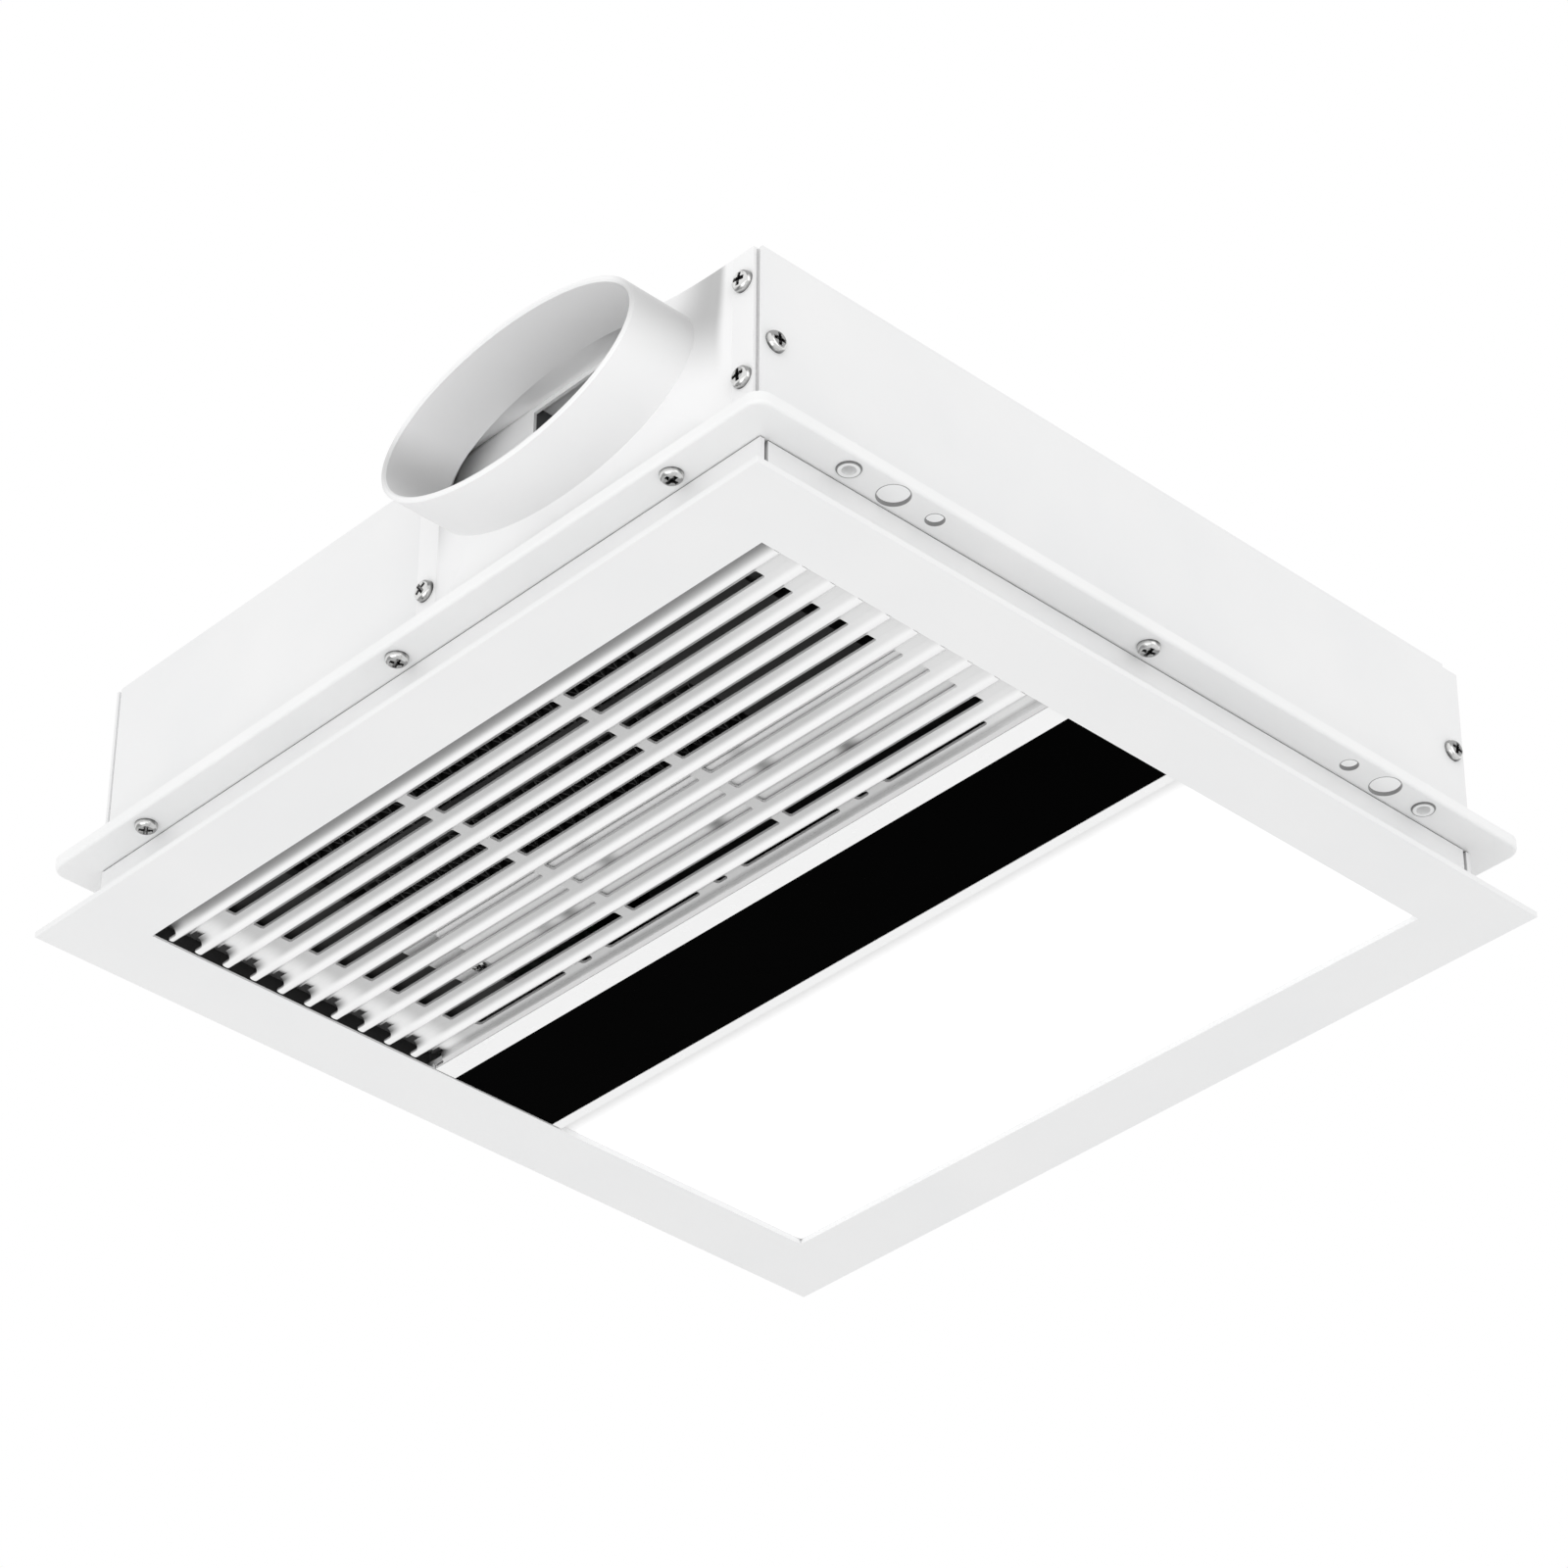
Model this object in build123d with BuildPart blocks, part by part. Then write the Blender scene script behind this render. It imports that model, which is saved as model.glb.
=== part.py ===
from build123d import *
import os
from math import acos, cos, degrees, radians, sin

# Thin ceiling unit for a bathroom: extractor fan, warm air heater and lamp in one square housing.
# Millimetres. Z points up to the ceiling, the face with grille and lamp looks down into the room.
# The origin is the middle of the mounting flange's underside, where the unit seats in the ceiling.
# The duct collar stands on the minus Y wall, and the ribs of the grille run along X.

# Clearances
SEAT_GAP = 0.3
FIT_GAP = 0.1
RUN_CLEARANCE = 0.05

# Sheet metal housing
SHEET = 1.0
HOUSING_SIDE = 276.0
HOUSING_TOP = 63.0
CORNER_RETURN = 11.0
WELD_LIP = 5.0
CORNER_BEND = 2.0
RELIEF_LENGTH = 6.0
RELIEF_DEPTH = 1.0
FOOT_WIDTH = 16.0
FOOT_REACH = 9.0

# Mounting flange
FLANGE_SIDE = 297.0
FLANGE_T = 1.2
FLANGE_OPENING = 256.0
FLANGE_CORNER = 5.0
FLANGE_BEND = 1.0
LIP_HEIGHT = 3.6
LIP_T = 0.8
HOLE_LINE = 143.0
SCREW_SPREAD = 110.0
SMALL_HOLE_R = 2.5
SMALL_HOLE_Y = 80.5
LARGE_HOLE_R = 4.5
LARGE_HOLE_Y = 95.5
RIVET_NUT_Y = 111.5
RIVET_NUT_HEAD_R = 3.25
RIVET_NUT_HEAD = 0.5
RIVET_NUT_R = 2.75
RIVET_NUT_BORE_R = 2.0
RIVET_NUT_LENGTH = 7.0

# Pan head screws
SCREW_HEAD_R = 3.9
SCREW_HEAD_H = 2.4
SCREW_SHANK_R = 1.9
SCREW_LENGTH = 7.0
SCREW_DRAFT = 18.0
SCREW_SIDES = 12
SIDE_SCREW_INSET = 5.0
SIDE_SCREW_Z = 32.8

# Duct adapter with its oval collar
COLLAR_X = 69.3
COLLAR_RX = 50.9
COLLAR_RZ = 24.2
COLLAR_WALL = 1.9
COLLAR_LENGTH = 21.2
COLLAR_RIM_BEVEL = 0.5
HOPPER_DEPTH = 6.1
HOPPER_WIDTH = 118.0
HOPPER_LOW_Z = 8.0
ADAPTER_T = 1.2
ADAPTER_TAB = 8.0
ADAPTER_LOW_Z = 5.0
ADAPTER_SCREW_SPREAD = 63.2
ADAPTER_SCREW_LOW_Z = 20.8
ADAPTER_SCREW_HIGH_Z = 52.9

# Blower wheel
FAN_X = 7.7
FAN_Y = 42.0
WHEEL_R = 59.0
WHEEL_LOW_Z = 17.0
WHEEL_HEIGHT = 40.0
WHEEL_RING_H = 3.0
WHEEL_RING_T = 1.6
WHEEL_PLATE = 1.2
BLADE_COUNT = 36
BLADE_DEPTH = 12.0
BLADE_T = 0.9
BLADE_SWEEP = 9.0
BLADE_BELLY = 2.5
DISH_MOUTH_R = 41.0
DISH_R = 35.0
DISH_FLOOR_Z = 35.0
HUB_R = 8.0
HUB_HEIGHT = 9.0

# Blower scroll
TONGUE_GAP = 7.0
SCROLL_WALL = 1.5
THROAT_LOW_X = 47.7
THROAT_WIDTH = 56.0
THROAT_FLOOR_Z = 14.0
SCROLL_END_Y = -24.0
INLET_R = 44.0
INLET_LIP = 2.0
SPIRAL_FOLDS = 28
OUTLET_LOW_Z = 19.0
OUTLET_HIGH_Z = 59.4

# Fan motor
MOTOR_R = 30.0
MOTOR_HEIGHT = 20.0
MOTOR_WALL = 1.5
MOTOR_EAR_W = 12.0
MOTOR_SCREW_R = 34.0
MOTOR_SCREW_LENGTH = 2.4
MOTOR_EAR_TURNS = (45, 135)
THRUST_R = 4.5
STATOR_T = 8.5
STATOR_LENGTH = 8.0
ROTOR_GAP = 0.6
SHAFT_R = 3.0
SHAFT_BELOW_NUT = 3.0
BUSH_R = 6.0
BUSH_LENGTH = 3.5
NUT_R = 6.0
NUT_HEIGHT = 5.0

# Air duct, changeover damper and its motor
DUCT_WALL = 1.0
DAMPER_Y = -118.5
DAMPER_Z = 17.6
DAMPER_SHAFT_R = 2.0
DAMPER_TUBE_R = 3.0
DAMPER_LENGTH = 43.5
DAMPER_T = 1.2
DAMPER_SIDE_GAP = 0.5
PORT_START = 5.0
PORT_LENGTH = 36.0
PORT_INSET = 3.0
PORT_RIM_T = 1.2
DAMPER_MOTOR_R = 10.0
DAMPER_MOTOR_T = 14.0
DAMPER_MOTOR_EAR_W = 8.0
DAMPER_MOTOR_EAR_T = 1.5
SHAFT_IN_MOTOR = 8.0
SHAFT_OVERHANG = 3.0

# Heater
HEATER_LOW_X = -110.0
HEATER_HIGH_X = 104.0
HEATER_LOW_Y = -118.0
HEATER_HIGH_Y = -64.0
HEATER_LOW_Z = -14.0
HEATER_HEIGHT = 14.0
HEATER_RIM = 4.0
HEATER_LOW_END = 28.0
HEATER_HIGH_END = 44.0
HEATER_BARS = 5
BAR_T = 2.0
FIN_PITCH = 5.2
FIN_T = 0.35
FIN_INSET = 1.0
HEATER_TAB_W = 14.0
HEATER_LUG = 6.0
TERMINAL_BLADE_L = 8.0
TERMINAL_BLADE_W = 6.3
TERMINAL_BLADE_T = 0.8
TERMINAL_BLADE_Y = (-112.0, -104.0, -96.0)
HOOD_T = 1.0
CUTOUT_Y = -110.0
CUTOUT_R = 6.0
CUTOUT_T = 5.0
HOOD_WALL_H = 3.0
COVER_LOW_X = -126.4
COVER_TAB_X = -74.0
COVER_TAB_Y = -63.5
COVER_LOW_Y = -127.0
COVER_HIGH_Y = -22.5
COVER_T = 2.6
MEMBER_LOW_X = -89.6
MEMBER_LOW_Y = -65.0
MEMBER_LEG_Y = -62.0
MEMBER_HIGH_Y = -40.0
MEMBER_FOLD = 2.8
MEMBER_BEND = 1.5
MEMBER_GAP = 0.5
MEMBER_SCREW_X = -79.6
MEMBER_SCREW_Y = (-60.0, -45.0)
SMALL_HEAD_R = 2.4
SMALL_HEAD_H = 0.9
SMALL_SHANK_R = 1.4

# Face frame
FACE_DROP = 22.2
FACE_SIDE = 300.0
FACE_T = 1.9
FACE_EDGE = 0.3
SKIRT_SIDE = 275.0
SKIRT_T = 1.5
OPENING_SIDE = 252.5
MITRE_GAP = 1.3
EDGE_T = 0.7
EDGE_REACH = 10.0
SEAL_LOW_X = -134.5
SEAL_HIGH_X = -128.5
SEAL_TOP_Z = -13.0

# Grille pressed from sheet
RIB_COUNT = 10
RIB_PITCH = 9.97
RIB_FIRST_Y = -120.88
RIB_PROUD = 1.8
RIB_CREST = 1.7
RIB_FLANK = 2.35
RIB_ROUND = 2.0
FOOT_ROUND = 1.5
RIB_TIP_X = -124.9
END_WALL_Y = -24.2
END_WALL_RUN = 0.4
GRILLE_T = 0.9
TUCK = 4.0
SLOT_WIDTH = 3.6
SLOT_CORNER = 0.4
SLOT_LOW_X = -104.3
SLOT_SIDE = 75.1
SLOT_MIDDLE = 60.5
BRIDGE = 4.1
LAST_SLOT_X = 3.65
LAST_SLOT_Y = -27.6
LAST_SLOT_WIDTH = 2.6
LAST_SLOT_LENGTH = 38.6
LAST_SLOT_PITCH = 56.75
LAST_SLOT_COUNT = 4
LAST_SLOT_ROUND = 1.2
LAST_HOLE_LENGTH = 4.6
NOTCH_LENGTH = 4.4
NOTCH_WIDTH = 7.6
NOTCH_ROUND = 2.0
VALLEY_END_X = -116.3
VALLEY_BEND_R = 6.0
VALLEY_BEND = 48.0

# Display bezel and lamp
DIVIDER_LOW_Y = -21.7
DISPLAY_LOW_Y = -14.2
DISPLAY_HIGH_Y = 23.9
LAMP_LOW_Y = 27.3
BEZEL_T = 2.0
BEZEL_RECESS = 0.3
LENS_RECESS = 0.4
BOARD_T = 1.6
DIGITS_WIDTH = 46.0
DIGITS_DEPTH = 16.0
DISPLAY_BOARD_LENGTH = 120.0
DISPLAY_BOARD_MARGIN = 12.0
DIFFUSER_T = 2.0
TRAY_T = 1.0
TRAY_HEIGHT = 12.0
STRIP_COUNT = 4
STRIP_WIDTH = 10.0
STRIP_MARGIN = 8.0
LED_COUNT = 9
LED_SIDE = 3.5
LED_H = 0.8
DRIVER_X = 92.0
DRIVER_Y = 80.0
DRIVER_WIDTH = 28.0
DRIVER_LENGTH = 70.0
DRIVER_HEIGHT = 11.0
DRIVER_ROUND = 2.0

# Spring clips that hold the face frame to the flange
CLIP_WIDTH = 14.0
CLIP_T = 0.8
CLIP_Y = 92.0
CLIP_FOOT_Z = -16.0
CLIP_BEND_Z = -7.0
CLIP_RAMP_H = 4.0
CLIP_TOP_Z = 30.0
CLIP_HOOK = 3.5

# Wiring side
BOARD_X = -104.0
BOARD_Y = 60.0
BOARD_WIDTH = 44.0
BOARD_LENGTH = 88.0
STANDOFF_R = 3.0
STANDOFF_H = 8.0
RELAY_LENGTH = 19.0
RELAY_WIDTH = 15.0
RELAY_HEIGHT = 15.0
RELAY_PITCH = 24.0
TERMINAL_Y = -18.0
TERMINAL_LENGTH = 48.0
TERMINAL_WIDTH = 20.0
TERMINAL_HEIGHT = 15.0
TERMINAL_WAYS = 5
TERMINAL_PITCH = 9.0
TERMINAL_WELL_R = 2.8
TERMINAL_WELL_H = 6.0
TERMINAL_SCREW_R = 2.3
CAPACITOR_Y = -78.0
CAPACITOR_R = 9.0
CAPACITOR_LENGTH = 34.0
CAPACITOR_DROP = 3.0
STRAP_WIDTH = 10.0
GLAND_X = -100.0
GLAND_Z = 32.0
GLAND_R = 8.0
GLAND_BORE_R = 4.0
GLAND_CAP_R = 10.5
GLAND_CAP_T = 11.5
GLAND_HEX_T = 3.5
GLAND_NUT_R = 11.0
GLAND_NUT_T = 4.0
GLAND_INSIDE = 7.0

# Derived places
HALF = HOUSING_SIDE / 2
INNER = HALF - SHEET
TOP_UNDER = HOUSING_TOP - SHEET
FACE_Z = -FACE_DROP
BORDER_TOP = FACE_Z + FACE_T
OPEN_HALF = OPENING_SIDE / 2
TUCK_HALF = OPEN_HALF + TUCK
FIT_HALF = OPEN_HALF - SEAT_GAP
SKIRT_HALF = SKIRT_SIDE / 2
SKIRT_INNER = SKIRT_HALF - SKIRT_T
SCREW_HOLE_R = SCREW_SHANK_R + FIT_GAP
COLLAR_Z = HOUSING_TOP - COLLAR_RZ
ADAPTER_Y = -HALF - ADAPTER_T
COLLAR_ROOT_Y = ADAPTER_Y - HOPPER_DEPTH
THROAT_HIGH_X = THROAT_LOW_X + THROAT_WIDTH
TONGUE_R = WHEEL_R + TONGUE_GAP
TONGUE_ANGLE = -degrees(acos((THROAT_LOW_X - FAN_X) / TONGUE_R))
EXIT_R = THROAT_HIGH_X - FAN_X
WHEEL_HIGH_Z = WHEEL_LOW_Z + WHEEL_HEIGHT
MOTOR_LOW_Z = TOP_UNDER - MOTOR_HEIGHT
MOTOR_CEILING = TOP_UNDER - MOTOR_WALL
HUB_LOW_Z = DISH_FLOOR_Z + WHEEL_PLATE - HUB_HEIGHT
HEATER_HIGH_Z = HEATER_LOW_Z + HEATER_HEIGHT
ELEMENT_LOW_X = HEATER_LOW_X + HEATER_LOW_END
ELEMENT_HIGH_X = HEATER_HIGH_X - HEATER_HIGH_END
COVER_Z = HEATER_LOW_Z - COVER_T
MEMBER_Z = COVER_Z - SHEET
DUCT_LOW_Z = THROAT_FLOOR_Z - DUCT_WALL
PORT_LOW_Y = DAMPER_Y + PORT_START
PORT_HIGH_Y = PORT_LOW_Y + PORT_LENGTH
PORT_LOW_X = THROAT_LOW_X + PORT_INSET
PORT_HIGH_X = THROAT_HIGH_X - PORT_INSET
DUCT_SIDE_X = THROAT_HIGH_X + DUCT_WALL
BEZEL_TOP = BORDER_TOP + BEZEL_T
DIFFUSER_TOP = BORDER_TOP + DIFFUSER_T
TRAY_TOP = DIFFUSER_TOP + TRAY_HEIGHT
TRAY_LOW_Y = LAMP_LOW_Y + SEAT_GAP
CAPACITOR_Z = TOP_UNDER - CAPACITOR_DROP - CAPACITOR_R

os.makedirs("parts", exist_ok=True)


def block(x0, x1, y0, y1, z0, z1, mode=Mode.ADD):
    """A box between two corners, added to or cut from the piece being built."""
    with Locations(((x0 + x1) / 2, (y0 + y1) / 2, (z0 + z1) / 2)):
        Box(abs(x1 - x0), abs(y1 - y0), abs(z1 - z0), mode=mode)


def save(piece, name):
    """Label a finished piece and write its file."""
    piece.part.label = name
    export_step(piece.part, f"parts/{name}.step")


def screw_set(name, seats, length=SCREW_LENGTH, head_r=SCREW_HEAD_R, head_h=SCREW_HEAD_H,
              shank_r=SCREW_SHANK_R):
    """Pan head screws. Each seat is a plane whose normal points out of the head."""
    with BuildPart() as screws:
        for seat in seats:
            with BuildSketch(seat):
                RegularPolygon(head_r, SCREW_SIDES)
            extrude(amount=head_h, taper=SCREW_DRAFT)
            with BuildSketch(seat):
                RegularPolygon(shank_r, SCREW_SIDES)
            extrude(amount=-length)
    save(screws, name)


def oval_arcs(radius_x, radius_z):
    """An oval as four arcs that meet on its diagonals, so a loft pairs them with a rectangle."""
    for start in (45, 135, 225, 315):
        EllipticalCenterArc((0, 0), radius_x, radius_z, start_angle=start, arc_size=90)


def frame_corners(low_x, high_x, low_y, high_y):
    """The four corners of a rectangle, from the high corner anticlockwise."""
    return [(high_x, high_y), (low_x, high_y), (low_x, low_y), (high_x, low_y)]


# Places of the flange's screws and holes
SCREW_XY = [(x, side * HOLE_LINE) for side in (-1, 1) for x in (-SCREW_SPREAD, 0, SCREW_SPREAD)]
SIDE_FOOT_XY = [(-HOLE_LINE, 0), (HOLE_LINE, 0)]


def both_sides(y):
    """Four places on the hole line of the X sides, at plus and minus y."""
    return [(sx * HOLE_LINE, sy * y) for sx in (-1, 1) for sy in (-1, 1)]


# Mounting flange: a square ring of sheet with an upturned lip and a round outer bend
with BuildPart() as mounting_flange:
    with BuildSketch():
        RectangleRounded(FLANGE_SIDE, FLANGE_SIDE, FLANGE_CORNER)
    extrude(amount=LIP_HEIGHT)
    fillet(mounting_flange.faces().sort_by(Axis.Z)[0].edges(), FLANGE_BEND)
    with BuildSketch(Plane.XY.offset(FLANGE_T)):
        RectangleRounded(FLANGE_SIDE - 2 * LIP_T, FLANGE_SIDE - 2 * LIP_T, FLANGE_CORNER - LIP_T)
    extrude(amount=LIP_HEIGHT, mode=Mode.SUBTRACT)
    with BuildSketch():
        Rectangle(FLANGE_OPENING, FLANGE_OPENING)
        with Locations(*SCREW_XY, *SIDE_FOOT_XY):
            Circle(SCREW_HOLE_R)
        with Locations(*both_sides(SMALL_HOLE_Y)):
            Circle(SMALL_HOLE_R)
        with Locations(*both_sides(LARGE_HOLE_Y)):
            Circle(LARGE_HOLE_R)
        with Locations(*both_sides(RIVET_NUT_Y)):
            Circle(RIVET_NUT_R)
    extrude(amount=FLANGE_T, mode=Mode.SUBTRACT)
save(mounting_flange, "mounting_flange")

# Rivet nuts in the flange, for the ceiling brackets
with BuildPart() as rivet_nuts:
    with BuildSketch(Plane.XY.offset(-RIVET_NUT_HEAD)):
        with Locations(*both_sides(RIVET_NUT_Y)):
            Circle(RIVET_NUT_HEAD_R)
            Circle(RIVET_NUT_BORE_R, mode=Mode.SUBTRACT)
    extrude(amount=RIVET_NUT_HEAD)
    with BuildSketch():
        with Locations(*both_sides(RIVET_NUT_Y)):
            Circle(RIVET_NUT_R)
            Circle(RIVET_NUT_BORE_R, mode=Mode.SUBTRACT)
    extrude(amount=RIVET_NUT_LENGTH)
save(rivet_nuts, "rivet_nuts")

MOTOR_HOLE_XY = [(FAN_X + MOTOR_SCREW_R * cos(radians(turn + half)), FAN_Y + MOTOR_SCREW_R * sin(radians(turn + half)))
                 for turn in MOTOR_EAR_TURNS for half in (0, 180)]

# Housing body: top and low Y wall bent from one sheet. Back panel: the high Y wall, welded to the top by a lip
for side, name in ((-1, "housing_body"), (1, "back_panel")):
    with BuildPart() as shell:
        with BuildSketch(Plane.XY.offset(FLANGE_T)):
            RectangleRounded(2 * INNER, HOUSING_SIDE, CORNER_BEND)
            RectangleRounded(2 * (INNER - SHEET), 2 * INNER, CORNER_BEND - SHEET, mode=Mode.SUBTRACT)
            with Locations((0, -side * CORNER_RETURN)):
                Rectangle(HOUSING_SIDE, HOUSING_SIDE, mode=Mode.SUBTRACT)
        extrude(amount=TOP_UNDER - FLANGE_T)
        for x in (-SCREW_SPREAD, 0, SCREW_SPREAD):
            block(x - FOOT_WIDTH / 2, x + FOOT_WIDTH / 2, side * INNER, side * (HALF + FOOT_REACH),
                  FLANGE_T, FLANGE_T + SHEET)
        with BuildSketch(Plane.XY.offset(FLANGE_T)):
            with Locations(*[(x, side * HOLE_LINE) for x in (-SCREW_SPREAD, 0, SCREW_SPREAD)]):
                Circle(SCREW_HOLE_R)
        extrude(amount=SHEET, mode=Mode.SUBTRACT)
        with BuildSketch(Plane.YZ.offset(-INNER)):
            with Locations((side * (HALF - SIDE_SCREW_INSET), SIDE_SCREW_Z)):
                Circle(SCREW_HOLE_R)
        extrude(amount=2 * INNER, mode=Mode.SUBTRACT)
        if side < 0:
            with BuildSketch(Plane.XY.offset(TOP_UNDER)):
                RectangleRounded(2 * INNER, HOUSING_SIDE, CORNER_BEND)
                with Locations(*MOTOR_HOLE_XY):
                    Circle(SCREW_HOLE_R, mode=Mode.SUBTRACT)
            extrude(amount=SHEET)
            with BuildSketch(Plane.XZ.offset(HALF)):
                with Locations(((THROAT_LOW_X + THROAT_HIGH_X) / 2, (OUTLET_LOW_Z + OUTLET_HIGH_Z) / 2)):
                    Rectangle(THROAT_WIDTH, OUTLET_HIGH_Z - OUTLET_LOW_Z)
                for x in (COLLAR_X - ADAPTER_SCREW_SPREAD, COLLAR_X + ADAPTER_SCREW_SPREAD):
                    with Locations((x, ADAPTER_SCREW_LOW_Z), (x, ADAPTER_SCREW_HIGH_Z)):
                        Circle(SCREW_HOLE_R)
            extrude(amount=-SHEET, mode=Mode.SUBTRACT)
        else:
            block(SHEET - INNER + CORNER_BEND, INNER - SHEET - CORNER_BEND, INNER - WELD_LIP, INNER,
                  TOP_UNDER - SHEET, TOP_UNDER)
            with BuildSketch(Plane.XZ.offset(-HALF)):
                with Locations((GLAND_X, GLAND_Z)):
                    Circle(GLAND_R + FIT_GAP)
            extrude(amount=SHEET, mode=Mode.SUBTRACT)
    save(shell, name)

# Side panels: flat sheets over the returns, with a foot on the flange and a relief at one top corner
for side, name in ((-1, "side_panel_left"), (1, "side_panel_right")):
    with BuildPart() as side_panel:
        with BuildSketch(Plane.YZ.offset(side * INNER)):
            with Locations((0, (FLANGE_T + HOUSING_TOP) / 2)):
                Rectangle(2 * (HALF - SEAT_GAP), HOUSING_TOP - FLANGE_T)
            with Locations((HALF - SEAT_GAP - RELIEF_LENGTH / 2, HOUSING_TOP - RELIEF_DEPTH / 2)):
                Rectangle(RELIEF_LENGTH, RELIEF_DEPTH, mode=Mode.SUBTRACT)
            with Locations(*[(end * (HALF - SIDE_SCREW_INSET), SIDE_SCREW_Z) for end in (-1, 1)]):
                Circle(SCREW_HOLE_R, mode=Mode.SUBTRACT)
        extrude(amount=side * SHEET)
        block(side * INNER, side * (HALF + FOOT_REACH), -FOOT_WIDTH / 2, FOOT_WIDTH / 2,
              FLANGE_T, FLANGE_T + SHEET)
        with Locations((side * HOLE_LINE, 0, FLANGE_T)):
            Cylinder(SCREW_HOLE_R, 4 * SHEET, mode=Mode.SUBTRACT)
    save(side_panel, name)

# Screws of the flange, of the side panels and of the adapter
screw_set("flange_screws", [Plane(origin=(x, y, 0), z_dir=(0, 0, -1)) for x, y in SCREW_XY + SIDE_FOOT_XY])
screw_set("side_screws", [Plane(origin=(side * HALF, end * (HALF - SIDE_SCREW_INSET), SIDE_SCREW_Z),
                                z_dir=(side, 0, 0)) for side in (-1, 1) for end in (-1, 1)])
screw_set("adapter_screws", [Plane(origin=(COLLAR_X + side * ADAPTER_SCREW_SPREAD, ADAPTER_Y, z), z_dir=(0, -1, 0))
                             for side in (-1, 1) for z in (ADAPTER_SCREW_LOW_Z, ADAPTER_SCREW_HIGH_Z)])


def collar_plane(y):
    """A plane across the collar at one distance from the wall, with its normal along minus Y."""
    return Plane(origin=(COLLAR_X, y, COLLAR_Z), x_dir=(1, 0, 0), z_dir=(0, -1, 0))


# Duct adapter: base plate, hopper that turns the rectangle into an oval, and the collar
with BuildPart() as outlet_adapter:
    block(COLLAR_X - HOPPER_WIDTH / 2 - ADAPTER_TAB, COLLAR_X + HOPPER_WIDTH / 2 + ADAPTER_TAB,
          ADAPTER_Y, -HALF, ADAPTER_LOW_Z, HOUSING_TOP)
    with BuildSketch(collar_plane(ADAPTER_Y)):
        with BuildLine():
            Polyline(*frame_corners(-HOPPER_WIDTH / 2, HOPPER_WIDTH / 2, HOPPER_LOW_Z - COLLAR_Z, COLLAR_RZ),
                     close=True)
        make_face()
    with BuildSketch(collar_plane(COLLAR_ROOT_Y)):
        with BuildLine():
            oval_arcs(COLLAR_RX, COLLAR_RZ)
        make_face()
    loft()
    with BuildSketch(collar_plane(COLLAR_ROOT_Y)):
        with BuildLine():
            oval_arcs(COLLAR_RX, COLLAR_RZ)
        make_face()
    extrude(amount=COLLAR_LENGTH)
    with BuildSketch(collar_plane(-HALF)):
        with BuildLine():
            Polyline(*frame_corners(COLLAR_WALL - HOPPER_WIDTH / 2, HOPPER_WIDTH / 2 - COLLAR_WALL,
                                    HOPPER_LOW_Z + COLLAR_WALL - COLLAR_Z, COLLAR_RZ - COLLAR_WALL), close=True)
        make_face()
    with BuildSketch(collar_plane(COLLAR_ROOT_Y)):
        with BuildLine():
            oval_arcs(COLLAR_RX - COLLAR_WALL, COLLAR_RZ - COLLAR_WALL)
        make_face()
    loft(mode=Mode.SUBTRACT)
    with BuildSketch(collar_plane(COLLAR_ROOT_Y)):
        with BuildLine():
            oval_arcs(COLLAR_RX - COLLAR_WALL, COLLAR_RZ - COLLAR_WALL)
        make_face()
    extrude(amount=COLLAR_LENGTH, mode=Mode.SUBTRACT)
    chamfer(outlet_adapter.faces().sort_by(Axis.Y)[0].edges(), COLLAR_RIM_BEVEL)
    with BuildSketch(collar_plane(ADAPTER_Y)):
        for side in (-1, 1):
            for z in (ADAPTER_SCREW_LOW_Z, ADAPTER_SCREW_HIGH_Z):
                with Locations((side * ADAPTER_SCREW_SPREAD, z - COLLAR_Z)):
                    Circle(SCREW_HOLE_R)
    extrude(amount=-ADAPTER_T, mode=Mode.SUBTRACT)
save(outlet_adapter, "outlet_adapter")


def spiral_point(turned, wall):
    """A point of the scroll's wall, at a share of the way from the tongue round to the throat."""
    angle = radians(TONGUE_ANGLE - turned * (360 + TONGUE_ANGLE))
    radius = TONGUE_R + turned * (EXIT_R - TONGUE_R) + wall
    return (FAN_X + radius * cos(angle), FAN_Y + radius * sin(angle))


def scroll_plan(wall):
    """The plan of the scroll's room, or of its outside when the wall is added."""
    centre = (FAN_X, FAN_Y)
    tongue_y = spiral_point(0, 0)[1]
    with BuildSketch(mode=Mode.PRIVATE) as plan:
        Polygon(centre, *[spiral_point(fold / SPIRAL_FOLDS, wall) for fold in range(SPIRAL_FOLDS + 1)], align=None)
        Polygon(centre, (THROAT_HIGH_X + wall, FAN_Y), (THROAT_HIGH_X + wall, SCROLL_END_Y),
                (THROAT_LOW_X - wall, SCROLL_END_Y), (THROAT_LOW_X - wall, tongue_y), align=None)
    return plan.sketch


# Blower scroll: floor with a bell mouth, and a spiral wall of many flats up to the housing's top
with BuildPart() as fan_scroll:
    with BuildSketch(Plane.XY.offset(THROAT_FLOOR_Z - SCROLL_WALL)):
        add(scroll_plan(SCROLL_WALL))
        with Locations((FAN_X, FAN_Y)):
            Circle(INLET_R, mode=Mode.SUBTRACT)
    extrude(amount=SCROLL_WALL)
    with BuildSketch(Plane.XY.offset(THROAT_FLOOR_Z)):
        add(scroll_plan(SCROLL_WALL))
        add(scroll_plan(0), mode=Mode.SUBTRACT)
    extrude(amount=TOP_UNDER - THROAT_FLOOR_Z)
    with BuildSketch(Plane.XY.offset(THROAT_FLOOR_Z)):
        with Locations((FAN_X, FAN_Y)):
            Circle(INLET_R + SCROLL_WALL)
            Circle(INLET_R, mode=Mode.SUBTRACT)
    extrude(amount=INLET_LIP)
save(fan_scroll, "fan_scroll")


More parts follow.
